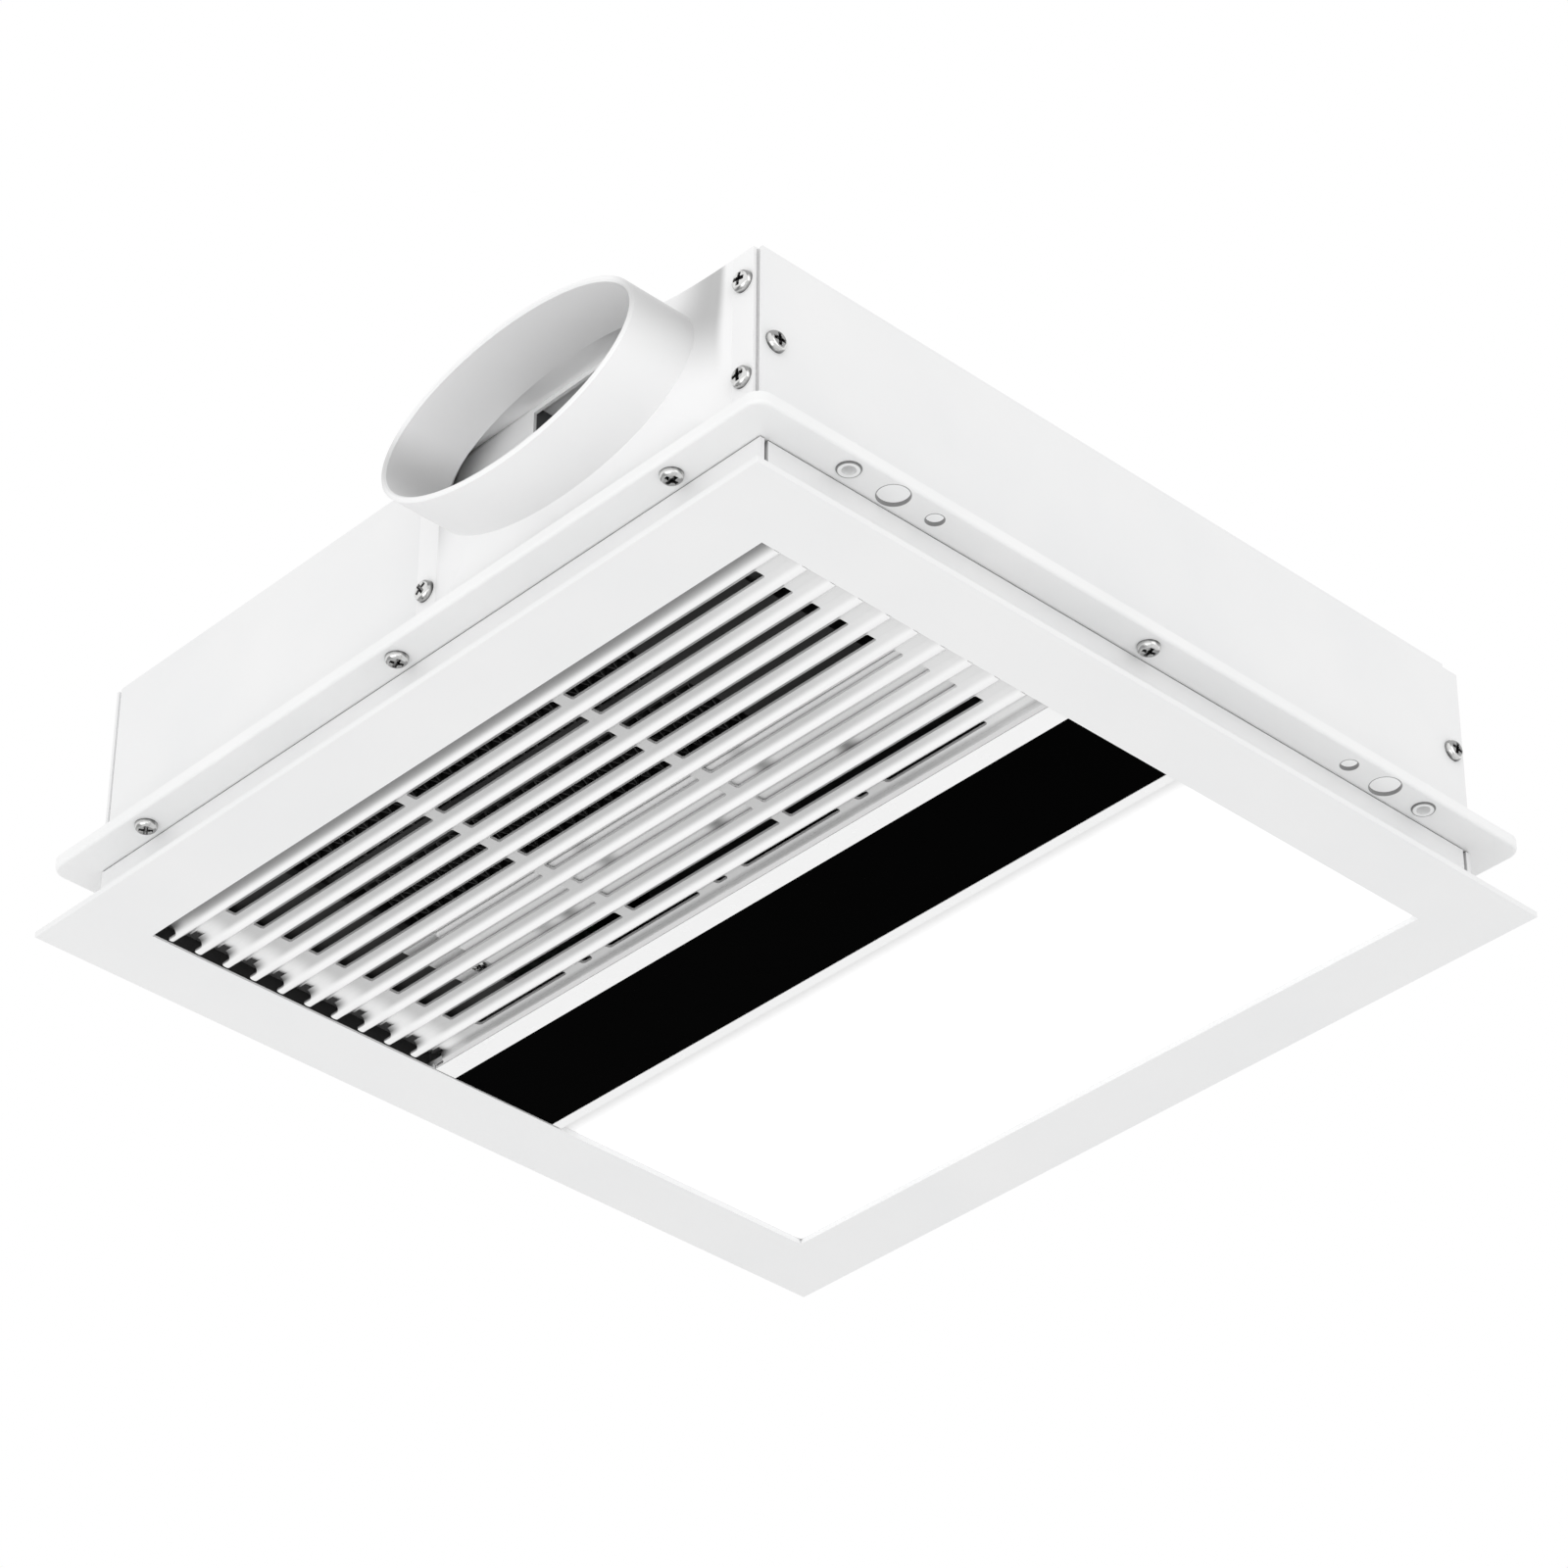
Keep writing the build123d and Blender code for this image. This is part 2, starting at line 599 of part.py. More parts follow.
def blade_point(radius, sweep):
    """A point of the blade's section by radius and angle."""
    return (radius * cos(radians(sweep)), radius * sin(radians(sweep)))


# Blower wheel: forward curved blades on a front ring, under a dished back plate with the hub
FAN_PLACE = Location((FAN_X, FAN_Y, 0))
BLADE_INNER_R = WHEEL_R - BLADE_DEPTH
BLADE_TURN = degrees(BLADE_T / WHEEL_R)
BLADE_PLACES = [(BLADE_INNER_R, 0), (WHEEL_R - BLADE_DEPTH / 2, BLADE_SWEEP / 2 - BLADE_BELLY),
                (WHEEL_R - WHEEL_RING_T / 2, BLADE_SWEEP)]
with BuildSketch() as blade:
    Polygon(*[blade_point(radius, sweep) for radius, sweep in BLADE_PLACES],
            *[blade_point(radius, sweep + BLADE_TURN) for radius, sweep in BLADE_PLACES[::-1]], align=None)
with BuildPart() as impeller:
    with BuildSketch(Plane.XY.offset(WHEEL_LOW_Z)):
        with PolarLocations(0, BLADE_COUNT):
            add(blade.sketch)
    extrude(amount=WHEEL_HEIGHT - WHEEL_PLATE)
    with BuildSketch(Plane.XY.offset(WHEEL_LOW_Z)):
        Circle(WHEEL_R)
        Circle(WHEEL_R - WHEEL_RING_T, mode=Mode.SUBTRACT)
    extrude(amount=WHEEL_RING_H)
impeller.part = impeller.part.moved(FAN_PLACE)
save(impeller, "impeller")
with BuildPart() as wheel_plate:
    with BuildSketch(Plane.XZ):
        with BuildLine():
            Polyline((SHAFT_R, HUB_LOW_Z), (HUB_R, HUB_LOW_Z), (HUB_R, DISH_FLOOR_Z), (DISH_R, DISH_FLOOR_Z),
                     (DISH_MOUTH_R, WHEEL_HIGH_Z - WHEEL_PLATE), (WHEEL_R, WHEEL_HIGH_Z - WHEEL_PLATE),
                     (WHEEL_R, WHEEL_HIGH_Z), (DISH_MOUTH_R - WHEEL_PLATE, WHEEL_HIGH_Z),
                     (DISH_R - WHEEL_PLATE, DISH_FLOOR_Z + WHEEL_PLATE), (SHAFT_R, DISH_FLOOR_Z + WHEEL_PLATE),
                     close=True)
        make_face()
    revolve(axis=Axis.Z)
wheel_plate.part = wheel_plate.part.moved(FAN_PLACE)
save(wheel_plate, "wheel_plate")

# Motor housing: an upturned cup with four ears under the housing's top
with BuildPart() as motor_housing:
    with Locations((0, 0, MOTOR_LOW_Z + MOTOR_HEIGHT / 2)):
        Cylinder(MOTOR_R, MOTOR_HEIGHT)
    with BuildSketch(Plane.XY.offset(MOTOR_CEILING)):
        for turn in MOTOR_EAR_TURNS:
            SlotCenterToCenter(2 * MOTOR_SCREW_R, MOTOR_EAR_W, rotation=turn)
        with PolarLocations(MOTOR_SCREW_R, 2 * len(MOTOR_EAR_TURNS), start_angle=MOTOR_EAR_TURNS[0]):
            Circle(SCREW_HOLE_R, mode=Mode.SUBTRACT)
    extrude(amount=MOTOR_WALL)
    with Locations((0, 0, MOTOR_LOW_Z + MOTOR_HEIGHT / 2)):
        Cylinder(MOTOR_R - MOTOR_WALL, MOTOR_HEIGHT - 2 * MOTOR_WALL, mode=Mode.SUBTRACT)
        Cylinder(BUSH_R, 2 * MOTOR_HEIGHT, mode=Mode.SUBTRACT)
motor_housing.part = motor_housing.part.moved(FAN_PLACE)
save(motor_housing, "motor_housing")
screw_set("motor_screws", [Plane(origin=(x, y, MOTOR_CEILING), z_dir=(0, 0, -1)) for x, y in MOTOR_HOLE_XY],
          MOTOR_SCREW_LENGTH)

# Stator ring and the two bushes of the shaft
MOTOR_MIDDLE = MOTOR_LOW_Z + MOTOR_HEIGHT / 2
STATOR_R = MOTOR_R - MOTOR_WALL - STATOR_T
with BuildPart() as motor_stator:
    with Locations((FAN_X, FAN_Y, MOTOR_MIDDLE)):
        Cylinder(MOTOR_R - MOTOR_WALL, STATOR_LENGTH)
        Cylinder(STATOR_R, STATOR_LENGTH, mode=Mode.SUBTRACT)
save(motor_stator, "motor_stator")
with BuildPart() as motor_bearings:
    with Locations((FAN_X, FAN_Y, MOTOR_LOW_Z + BUSH_LENGTH / 2), (FAN_X, FAN_Y, TOP_UNDER - BUSH_LENGTH / 2)):
        Cylinder(BUSH_R, BUSH_LENGTH)
        Cylinder(SHAFT_R + RUN_CLEARANCE, BUSH_LENGTH, mode=Mode.SUBTRACT)
save(motor_bearings, "motor_bearings")

# Rotor on the shaft, with a thrust collar before each bush, and the nut under the hub
NUT_LOW_Z = HUB_LOW_Z - NUT_HEIGHT
with BuildPart() as motor_shaft:
    with Locations((FAN_X, FAN_Y, (NUT_LOW_Z - SHAFT_BELOW_NUT + TOP_UNDER - SHEET) / 2)):
        Cylinder(SHAFT_R, TOP_UNDER - SHEET - NUT_LOW_Z + SHAFT_BELOW_NUT)
    with Locations((FAN_X, FAN_Y, MOTOR_MIDDLE)):
        Cylinder(THRUST_R, MOTOR_HEIGHT - 2 * BUSH_LENGTH - 2 * SEAT_GAP)
        Cylinder(SHAFT_R + MOTOR_WALL, STATOR_LENGTH, mode=Mode.SUBTRACT)
        Cylinder(SHAFT_R, STATOR_LENGTH)
save(motor_shaft, "motor_shaft")
with BuildPart() as motor_rotor:
    with Locations((FAN_X, FAN_Y, MOTOR_MIDDLE)):
        Cylinder(STATOR_R - ROTOR_GAP, STATOR_LENGTH)
        Cylinder(SHAFT_R, STATOR_LENGTH, mode=Mode.SUBTRACT)
save(motor_rotor, "motor_rotor")
with BuildPart() as impeller_nut:
    with BuildSketch(Plane.XY.offset(NUT_LOW_Z)):
        with Locations((FAN_X, FAN_Y)):
            RegularPolygon(NUT_R, 6)
            Circle(SHAFT_R, mode=Mode.SUBTRACT)
    extrude(amount=NUT_HEIGHT)
save(impeller_nut, "impeller_nut")

# Air duct: a channel from the scroll to the outlet, closed by the housing's top, with a port in its floor
THROAT_X = (THROAT_LOW_X + THROAT_HIGH_X) / 2
PORT_Y = (PORT_LOW_Y + PORT_HIGH_Y) / 2
SEAT_Z = DAMPER_Z - DAMPER_T / 2 - SEAT_GAP
DUCT_END_Y = SCROLL_END_Y - SEAT_GAP
EAR_SCREW_Y = DAMPER_MOTOR_R + SCREW_HEAD_R + SEAT_GAP
with BuildPart() as air_duct:
    block(THROAT_LOW_X - DUCT_WALL, DUCT_SIDE_X, -INNER, DUCT_END_Y, DUCT_LOW_Z, TOP_UNDER)
    block(THROAT_LOW_X, THROAT_HIGH_X, -INNER, DUCT_END_Y, THROAT_FLOOR_Z, TOP_UNDER, Mode.SUBTRACT)
    with BuildSketch(Plane.XY.offset(DUCT_LOW_Z)):
        with Locations((THROAT_X, PORT_Y)):
            Rectangle(PORT_HIGH_X - PORT_LOW_X + 2 * PORT_RIM_T, PORT_LENGTH + 2 * PORT_RIM_T)
    extrude(amount=SEAT_Z - DUCT_LOW_Z)
    block(PORT_LOW_X, PORT_HIGH_X, PORT_LOW_Y, PORT_HIGH_Y, DUCT_LOW_Z, SEAT_Z, Mode.SUBTRACT)
    with BuildSketch(Plane.YZ.offset(THROAT_LOW_X - DUCT_WALL)):
        with Locations((DAMPER_Y, DAMPER_Z)):
            Circle(DAMPER_SHAFT_R + RUN_CLEARANCE)
    extrude(amount=THROAT_WIDTH + 2 * DUCT_WALL, mode=Mode.SUBTRACT)
    with BuildSketch(Plane.YZ.offset(THROAT_HIGH_X)):
        with Locations((DAMPER_Y - EAR_SCREW_Y, DAMPER_Z), (DAMPER_Y + EAR_SCREW_Y, DAMPER_Z)):
            Circle(SCREW_HOLE_R)
    extrude(amount=DUCT_WALL, mode=Mode.SUBTRACT)
save(air_duct, "air_duct")

# Changeover damper: a flap on a tube. Lying down it covers the port, upright it closes the duct
FLAP_LOW_X = THROAT_LOW_X + DAMPER_SIDE_GAP
FLAP_HIGH_X = THROAT_HIGH_X - DAMPER_SIDE_GAP
with BuildPart() as changeover_damper:
    with BuildSketch(Plane.YZ.offset(FLAP_LOW_X)):
        with Locations((DAMPER_Y, DAMPER_Z)):
            Circle(DAMPER_TUBE_R)
        with Locations((DAMPER_Y + DAMPER_LENGTH / 2, DAMPER_Z)):
            Rectangle(DAMPER_LENGTH, DAMPER_T)
        with Locations((DAMPER_Y, DAMPER_Z)):
            Circle(DAMPER_SHAFT_R, mode=Mode.SUBTRACT)
    extrude(amount=FLAP_HIGH_X - FLAP_LOW_X)
save(changeover_damper, "changeover_damper")
with BuildPart() as damper_shaft:
    with BuildSketch(Plane.YZ.offset(THROAT_LOW_X - DUCT_WALL - SHAFT_OVERHANG)):
        with Locations((DAMPER_Y, DAMPER_Z)):
            Circle(DAMPER_SHAFT_R)
    extrude(amount=SHAFT_OVERHANG + THROAT_WIDTH + 2 * DUCT_WALL + SHAFT_IN_MOTOR)
save(damper_shaft, "damper_shaft")
with BuildPart() as damper_motor:
    with BuildSketch(Plane.YZ.offset(DUCT_SIDE_X)):
        with Locations((DAMPER_Y, DAMPER_Z)):
            Circle(DAMPER_MOTOR_R)
    extrude(amount=DAMPER_MOTOR_T)
    with BuildSketch(Plane.YZ.offset(DUCT_SIDE_X)):
        with Locations((DAMPER_Y, DAMPER_Z)):
            SlotCenterToCenter(2 * EAR_SCREW_Y, DAMPER_MOTOR_EAR_W)
        with Locations((DAMPER_Y - EAR_SCREW_Y, DAMPER_Z), (DAMPER_Y + EAR_SCREW_Y, DAMPER_Z)):
            Circle(SCREW_HOLE_R, mode=Mode.SUBTRACT)
    extrude(amount=DAMPER_MOTOR_EAR_T)
    with BuildSketch(Plane.YZ.offset(DUCT_SIDE_X)):
        with Locations((DAMPER_Y, DAMPER_Z)):
            Circle(DAMPER_SHAFT_R + RUN_CLEARANCE)
    extrude(amount=SHAFT_IN_MOTOR + SEAT_GAP, mode=Mode.SUBTRACT)
save(damper_motor, "damper_motor")
screw_set("damper_motor_screws", [Plane(origin=(DUCT_SIDE_X + DAMPER_MOTOR_EAR_T, DAMPER_Y + side * EAR_SCREW_Y, DAMPER_Z),
                                        z_dir=(1, 0, 0)) for side in (-1, 1)], DAMPER_MOTOR_EAR_T + DUCT_WALL)

# Heater frame: end blocks and a rim around the elements, hung on the flange by a tab at each end
with BuildPart() as heater_frame:
    block(HEATER_LOW_X, HEATER_HIGH_X, HEATER_LOW_Y, HEATER_HIGH_Y, HEATER_LOW_Z, HEATER_HIGH_Z)
    block(ELEMENT_LOW_X, ELEMENT_HIGH_X, HEATER_LOW_Y + HEATER_RIM, HEATER_HIGH_Y - HEATER_RIM,
          HEATER_LOW_Z, HEATER_HIGH_Z, Mode.SUBTRACT)
    tab_high_y = HEATER_HIGH_Y - BAR_T
    for end_x, side in ((HEATER_LOW_X, -1), (HEATER_HIGH_X, 1)):
        block(end_x, end_x + side * SHEET, tab_high_y - HEATER_TAB_W, tab_high_y, -HEATER_LUG, FLANGE_T + SHEET)
        block(end_x, side * INNER, tab_high_y - HEATER_TAB_W, tab_high_y, FLANGE_T, FLANGE_T + SHEET)
    block(HEATER_LOW_X, HEATER_HIGH_X, HEATER_LOW_Y, HEATER_HIGH_Y, HEATER_HIGH_Z, FLANGE_T + SHEET, Mode.SUBTRACT)
save(heater_frame, "heater_frame")

# Heating elements: flat bars with corrugated fins between them
ELEMENT_LOW_Y = HEATER_LOW_Y + HEATER_RIM
ELEMENT_LOW_Z = HEATER_LOW_Z + FIN_INSET
ELEMENT_HEIGHT = HEATER_HEIGHT - 2 * FIN_INSET
FIN_ROWS = HEATER_BARS + 1
FIN_DEPTH = (HEATER_HIGH_Y - HEATER_RIM - ELEMENT_LOW_Y - HEATER_BARS * BAR_T) / FIN_ROWS
WAVES = int((ELEMENT_HIGH_X - ELEMENT_LOW_X) / FIN_PITCH)


def ribbon_outline(low_y):
    """The outline of one corrugated fin: upper side forward, lower side back."""
    high_y = low_y + FIN_DEPTH
    upper = []
    lower = []
    for wave in range(WAVES):
        crest_x = ELEMENT_LOW_X + (wave + 0.5) * FIN_PITCH
        valley_x = crest_x + FIN_PITCH / 2
        upper += [(crest_x - FIN_T, high_y), (crest_x + FIN_T, high_y), (valley_x, low_y + FIN_T)]
        lower += [(crest_x, high_y - FIN_T), (valley_x - FIN_T, low_y), (valley_x + FIN_T, low_y)]
    return upper + lower[::-1]


with BuildPart() as heater_bars:
    for bar in range(HEATER_BARS):
        bar_y = ELEMENT_LOW_Y + (bar + 1) * FIN_DEPTH + bar * BAR_T
        block(ELEMENT_LOW_X, ELEMENT_HIGH_X, bar_y, bar_y + BAR_T, ELEMENT_LOW_Z, ELEMENT_LOW_Z + ELEMENT_HEIGHT)
save(heater_bars, "heater_bars")
with BuildPart() as heater_fins:
    with BuildSketch(Plane.XY.offset(ELEMENT_LOW_Z)):
        for row in range(FIN_ROWS):
            Polygon(*ribbon_outline(ELEMENT_LOW_Y + row * (FIN_DEPTH + BAR_T)), align=None)
    extrude(amount=ELEMENT_HEIGHT)
save(heater_fins, "heater_fins")
with BuildPart() as heater_terminals:
    for blade_y in TERMINAL_BLADE_Y:
        block(HEATER_LOW_X - TERMINAL_BLADE_L, HEATER_LOW_X, blade_y - TERMINAL_BLADE_W / 2,
              blade_y + TERMINAL_BLADE_W / 2, HEATER_LOW_Z / 2, HEATER_LOW_Z / 2 + TERMINAL_BLADE_T)
save(heater_terminals, "heater_terminals")
with BuildPart() as thermal_cutout:
    with BuildSketch(Plane.YZ.offset(HEATER_HIGH_X)):
        with Locations((CUTOUT_Y, HEATER_LOW_Z / 2)):
            Circle(CUTOUT_R)
    extrude(amount=CUTOUT_T)
save(thermal_cutout, "thermal_cutout")


def rectangle_at(z, low_x, high_x, low_y, high_y):
    """A rectangular sketch between two corners at one height."""
    with BuildSketch(Plane.XY.offset(z), mode=Mode.PRIVATE) as flat:
        with Locations(((low_x + high_x) / 2, (low_y + high_y) / 2)):
            Rectangle(high_x - low_x, high_y - low_y)
    return flat.sketch


# Heater hood: a sheet funnel from the port in the duct down to the heater
with BuildPart() as heater_hood:
    block(HEATER_LOW_X, HEATER_HIGH_X, HEATER_LOW_Y, HEATER_HIGH_Y, HEATER_HIGH_Z, HEATER_HIGH_Z + HOOD_WALL_H)
    loft([rectangle_at(HEATER_HIGH_Z + HOOD_WALL_H, HEATER_LOW_X, HEATER_HIGH_X, HEATER_LOW_Y, HEATER_HIGH_Y),
          rectangle_at(DUCT_LOW_Z, PORT_LOW_X - HOOD_T, PORT_HIGH_X + HOOD_T, PORT_LOW_Y - HOOD_T,
                       PORT_HIGH_Y + HOOD_T)], ruled=True)
    block(HEATER_LOW_X + HOOD_T, HEATER_HIGH_X - HOOD_T, HEATER_LOW_Y + HOOD_T, HEATER_HIGH_Y - HOOD_T,
          HEATER_HIGH_Z, HEATER_HIGH_Z + HOOD_WALL_H - HOOD_T, Mode.SUBTRACT)
    loft([rectangle_at(HEATER_HIGH_Z + HOOD_WALL_H - HOOD_T, HEATER_LOW_X + HOOD_T, HEATER_HIGH_X - HOOD_T,
                       HEATER_LOW_Y + HOOD_T, HEATER_HIGH_Y - HOOD_T),
          rectangle_at(DUCT_LOW_Z - HOOD_T, PORT_LOW_X, PORT_HIGH_X, PORT_LOW_Y, PORT_HIGH_Y)],
         ruled=True, mode=Mode.SUBTRACT)
    block(PORT_LOW_X, PORT_HIGH_X, PORT_LOW_Y, PORT_HIGH_Y, DUCT_LOW_Z - HOOD_T, DUCT_LOW_Z, Mode.SUBTRACT)
save(heater_hood, "heater_hood")

# End cover: a moulded plate under the heater's low end, with a tab that carries the cross member
with BuildPart() as end_cover:
    block(COVER_LOW_X, ELEMENT_LOW_X, COVER_LOW_Y, COVER_HIGH_Y, COVER_Z, HEATER_LOW_Z)
    block(ELEMENT_LOW_X, COVER_TAB_X, COVER_TAB_Y, MEMBER_HIGH_Y, COVER_Z, HEATER_LOW_Z)
    with BuildSketch(Plane.XY.offset(COVER_Z)):
        with Locations(*[(MEMBER_SCREW_X, y) for y in MEMBER_SCREW_Y]):
            Circle(SMALL_SHANK_R + FIT_GAP)
    extrude(amount=COVER_T, mode=Mode.SUBTRACT)
save(end_cover, "end_cover")

# Cross member: a plate behind the middle slots, folded up beside the heater, with a leg to the flange
MEMBER_X = FLANGE_OPENING / 2 - MEMBER_GAP
FOLD_LOW_X = COVER_TAB_X + MEMBER_GAP
with BuildPart() as cross_member:
    block(MEMBER_LOW_X, FOLD_LOW_X, MEMBER_LOW_Y, MEMBER_HIGH_Y, MEMBER_Z, COVER_Z)
    with BuildSketch(Plane.YZ.offset(FOLD_LOW_X)) as fold:
        with BuildLine():
            Polyline((MEMBER_HIGH_Y, MEMBER_Z), (MEMBER_LOW_Y, MEMBER_Z), (MEMBER_LOW_Y, MEMBER_Z + MEMBER_FOLD),
                     (MEMBER_LOW_Y + SHEET, MEMBER_Z + MEMBER_FOLD), (MEMBER_LOW_Y + SHEET, COVER_Z),
                     (MEMBER_HIGH_Y, COVER_Z), close=True)
        make_face()
        fillet(fold.vertices().sort_by_distance((MEMBER_LOW_Y, MEMBER_Z))[0], MEMBER_BEND)
        fillet(fold.vertices().sort_by_distance((MEMBER_LOW_Y + SHEET, COVER_Z))[0], MEMBER_BEND - SHEET)
    extrude(amount=MEMBER_X - FOLD_LOW_X)
    block(MEMBER_X, MEMBER_X - SHEET, MEMBER_LEG_Y, MEMBER_HIGH_Y, MEMBER_Z, FLANGE_T + SHEET)
    block(MEMBER_X - SHEET, INNER, MEMBER_LEG_Y, MEMBER_HIGH_Y, FLANGE_T, FLANGE_T + SHEET)
    with BuildSketch(Plane.XY.offset(MEMBER_Z)):
        with Locations(*[(MEMBER_SCREW_X, y) for y in MEMBER_SCREW_Y]):
            Circle(SMALL_SHANK_R + FIT_GAP)
    extrude(amount=SHEET, mode=Mode.SUBTRACT)
save(cross_member, "cross_member")
screw_set("member_screws", [Plane(origin=(MEMBER_SCREW_X, y, MEMBER_Z), z_dir=(0, 0, -1)) for y in MEMBER_SCREW_Y],
          SHEET + COVER_T, SMALL_HEAD_R, SMALL_HEAD_H, SMALL_SHANK_R)

# Control board with its relays, hung from the housing's top on standoffs
BOARD_LOW_X = BOARD_X - BOARD_WIDTH / 2
BOARD_LOW_Y = BOARD_Y - BOARD_LENGTH / 2
BOARD_TOP = TOP_UNDER - STANDOFF_H
with BuildPart() as board_standoffs:
    with Locations((BOARD_X, BOARD_Y, TOP_UNDER - STANDOFF_H / 2)):
        with GridLocations(BOARD_WIDTH - 4 * STANDOFF_R, BOARD_LENGTH - 4 * STANDOFF_R, 2, 2):
            Cylinder(STANDOFF_R, STANDOFF_H)
save(board_standoffs, "board_standoffs")
with BuildPart() as control_board:
    block(BOARD_LOW_X, BOARD_LOW_X + BOARD_WIDTH, BOARD_LOW_Y, BOARD_LOW_Y + BOARD_LENGTH,
          BOARD_TOP - BOARD_T, BOARD_TOP)
save(control_board, "control_board")
with BuildPart() as relays:
    with Locations((BOARD_X, BOARD_Y, BOARD_TOP - BOARD_T - RELAY_HEIGHT / 2)):
        with GridLocations(0, RELAY_PITCH, 1, 3):
            Box(RELAY_LENGTH, RELAY_WIDTH, RELAY_HEIGHT)
save(relays, "relays")

# Terminal block with its screws in wells
TERMINAL_LOW_Z = TOP_UNDER - TERMINAL_HEIGHT
with BuildPart() as terminal_block:
    block(BOARD_X - TERMINAL_LENGTH / 2, BOARD_X + TERMINAL_LENGTH / 2, TERMINAL_Y - TERMINAL_WIDTH / 2,
          TERMINAL_Y + TERMINAL_WIDTH / 2, TERMINAL_LOW_Z, TOP_UNDER)
    with Locations((BOARD_X, TERMINAL_Y, TERMINAL_LOW_Z + TERMINAL_WELL_H / 2)):
        with GridLocations(TERMINAL_PITCH, 0, TERMINAL_WAYS, 1):
            Cylinder(TERMINAL_WELL_R, TERMINAL_WELL_H, mode=Mode.SUBTRACT)
save(terminal_block, "terminal_block")
with BuildPart() as terminal_screws:
    with Locations((BOARD_X, TERMINAL_Y, TERMINAL_LOW_Z + TERMINAL_WELL_H * 3 / 4)):
        with GridLocations(TERMINAL_PITCH, 0, TERMINAL_WAYS, 1):
            Cylinder(TERMINAL_SCREW_R, TERMINAL_WELL_H / 2)
save(terminal_screws, "terminal_screws")

# Run capacitor of the motor in its strap
with BuildPart() as run_capacitor:
    with BuildSketch(Plane.YZ.offset(BOARD_X - CAPACITOR_LENGTH / 2)):
        with Locations((CAPACITOR_Y, CAPACITOR_Z)):
            Circle(CAPACITOR_R)
    extrude(amount=CAPACITOR_LENGTH)
save(run_capacitor, "run_capacitor")
STRAP_R = CAPACITOR_R + SHEET
with BuildPart() as capacitor_strap:
    with BuildSketch(Plane.YZ.offset(BOARD_X - STRAP_WIDTH / 2)):
        with Locations((CAPACITOR_Y, CAPACITOR_Z)):
            Circle(STRAP_R)
        with Locations((CAPACITOR_Y, (CAPACITOR_Z + TOP_UNDER) / 2)):
            Rectangle(2 * STRAP_R, TOP_UNDER - CAPACITOR_Z)
            Rectangle(2 * CAPACITOR_R, TOP_UNDER - CAPACITOR_Z, mode=Mode.SUBTRACT)
        with Locations((CAPACITOR_Y, CAPACITOR_Z)):
            Circle(CAPACITOR_R, mode=Mode.SUBTRACT)
        for side in (-1, 1):
            with Locations((CAPACITOR_Y + side * (STRAP_R + STRAP_WIDTH / 2), TOP_UNDER - SHEET / 2)):
                Rectangle(STRAP_WIDTH, SHEET)
    extrude(amount=STRAP_WIDTH)
save(capacitor_strap, "capacitor_strap")

# Cable gland through the plus Y wall, with its nut inside
GLAND_AXIS = Plane(origin=(GLAND_X, HALF, GLAND_Z), x_dir=(1, 0, 0), z_dir=(0, 1, 0))
with BuildPart() as cable_gland:
    with BuildSketch(GLAND_AXIS):
        RegularPolygon(GLAND_CAP_R, 6)
    extrude(amount=GLAND_HEX_T)
    with BuildSketch(GLAND_AXIS.offset(GLAND_HEX_T)):
        Circle(GLAND_CAP_R - FIT_GAP - SHEET)
    extrude(amount=GLAND_CAP_T - GLAND_HEX_T, taper=SCREW_DRAFT / 2)
    with BuildSketch(GLAND_AXIS):
        Circle(GLAND_R)
    extrude(amount=-GLAND_INSIDE)
    with BuildSketch(GLAND_AXIS.offset(GLAND_CAP_T)):
        Circle(GLAND_BORE_R)
    extrude(amount=-GLAND_CAP_T - GLAND_INSIDE, mode=Mode.SUBTRACT)
save(cable_gland, "cable_gland")
with BuildPart() as gland_nut:
    with BuildSketch(GLAND_AXIS.offset(-SHEET)):
        RegularPolygon(GLAND_NUT_R, 6)
        Circle(GLAND_R, mode=Mode.SUBTRACT)
    extrude(amount=-GLAND_NUT_T)
save(gland_nut, "gland_nut")

# Face frame: a border around the opening with four folded skirts, gapped at the corners
with BuildPart() as face_frame:
    block(-FACE_SIDE / 2, FACE_SIDE / 2, -FACE_SIDE / 2, FACE_SIDE / 2, FACE_Z, BORDER_TOP)
    fillet(face_frame.edges(), FACE_EDGE)
    block(-OPEN_HALF, OPEN_HALF, -OPEN_HALF, OPEN_HALF, FACE_Z, BORDER_TOP, Mode.SUBTRACT)
    block(-OPEN_HALF - EDGE_REACH, -OPEN_HALF, COVER_LOW_Y, COVER_HIGH_Y, FACE_Z + EDGE_T, BORDER_TOP,
          Mode.SUBTRACT)
    for side in (-1, 1):
        block(-SKIRT_HALF, SKIRT_HALF, side * SKIRT_INNER, side * SKIRT_HALF, BORDER_TOP, -SEAT_GAP)
        block(side * SKIRT_INNER, side * SKIRT_HALF, MITRE_GAP - SKIRT_INNER, SKIRT_INNER - MITRE_GAP,
              BORDER_TOP, -SEAT_GAP)
save(face_frame, "face_frame")

# Edge seal: a foam strip on the border's thin edge, behind the open ends of the valleys
with BuildPart() as edge_seal:
    block(SEAL_LOW_X, SEAL_HIGH_X, COVER_LOW_Y, COVER_HIGH_Y, FACE_Z + EDGE_T, SEAL_TOP_Z)
save(edge_seal, "edge_seal")

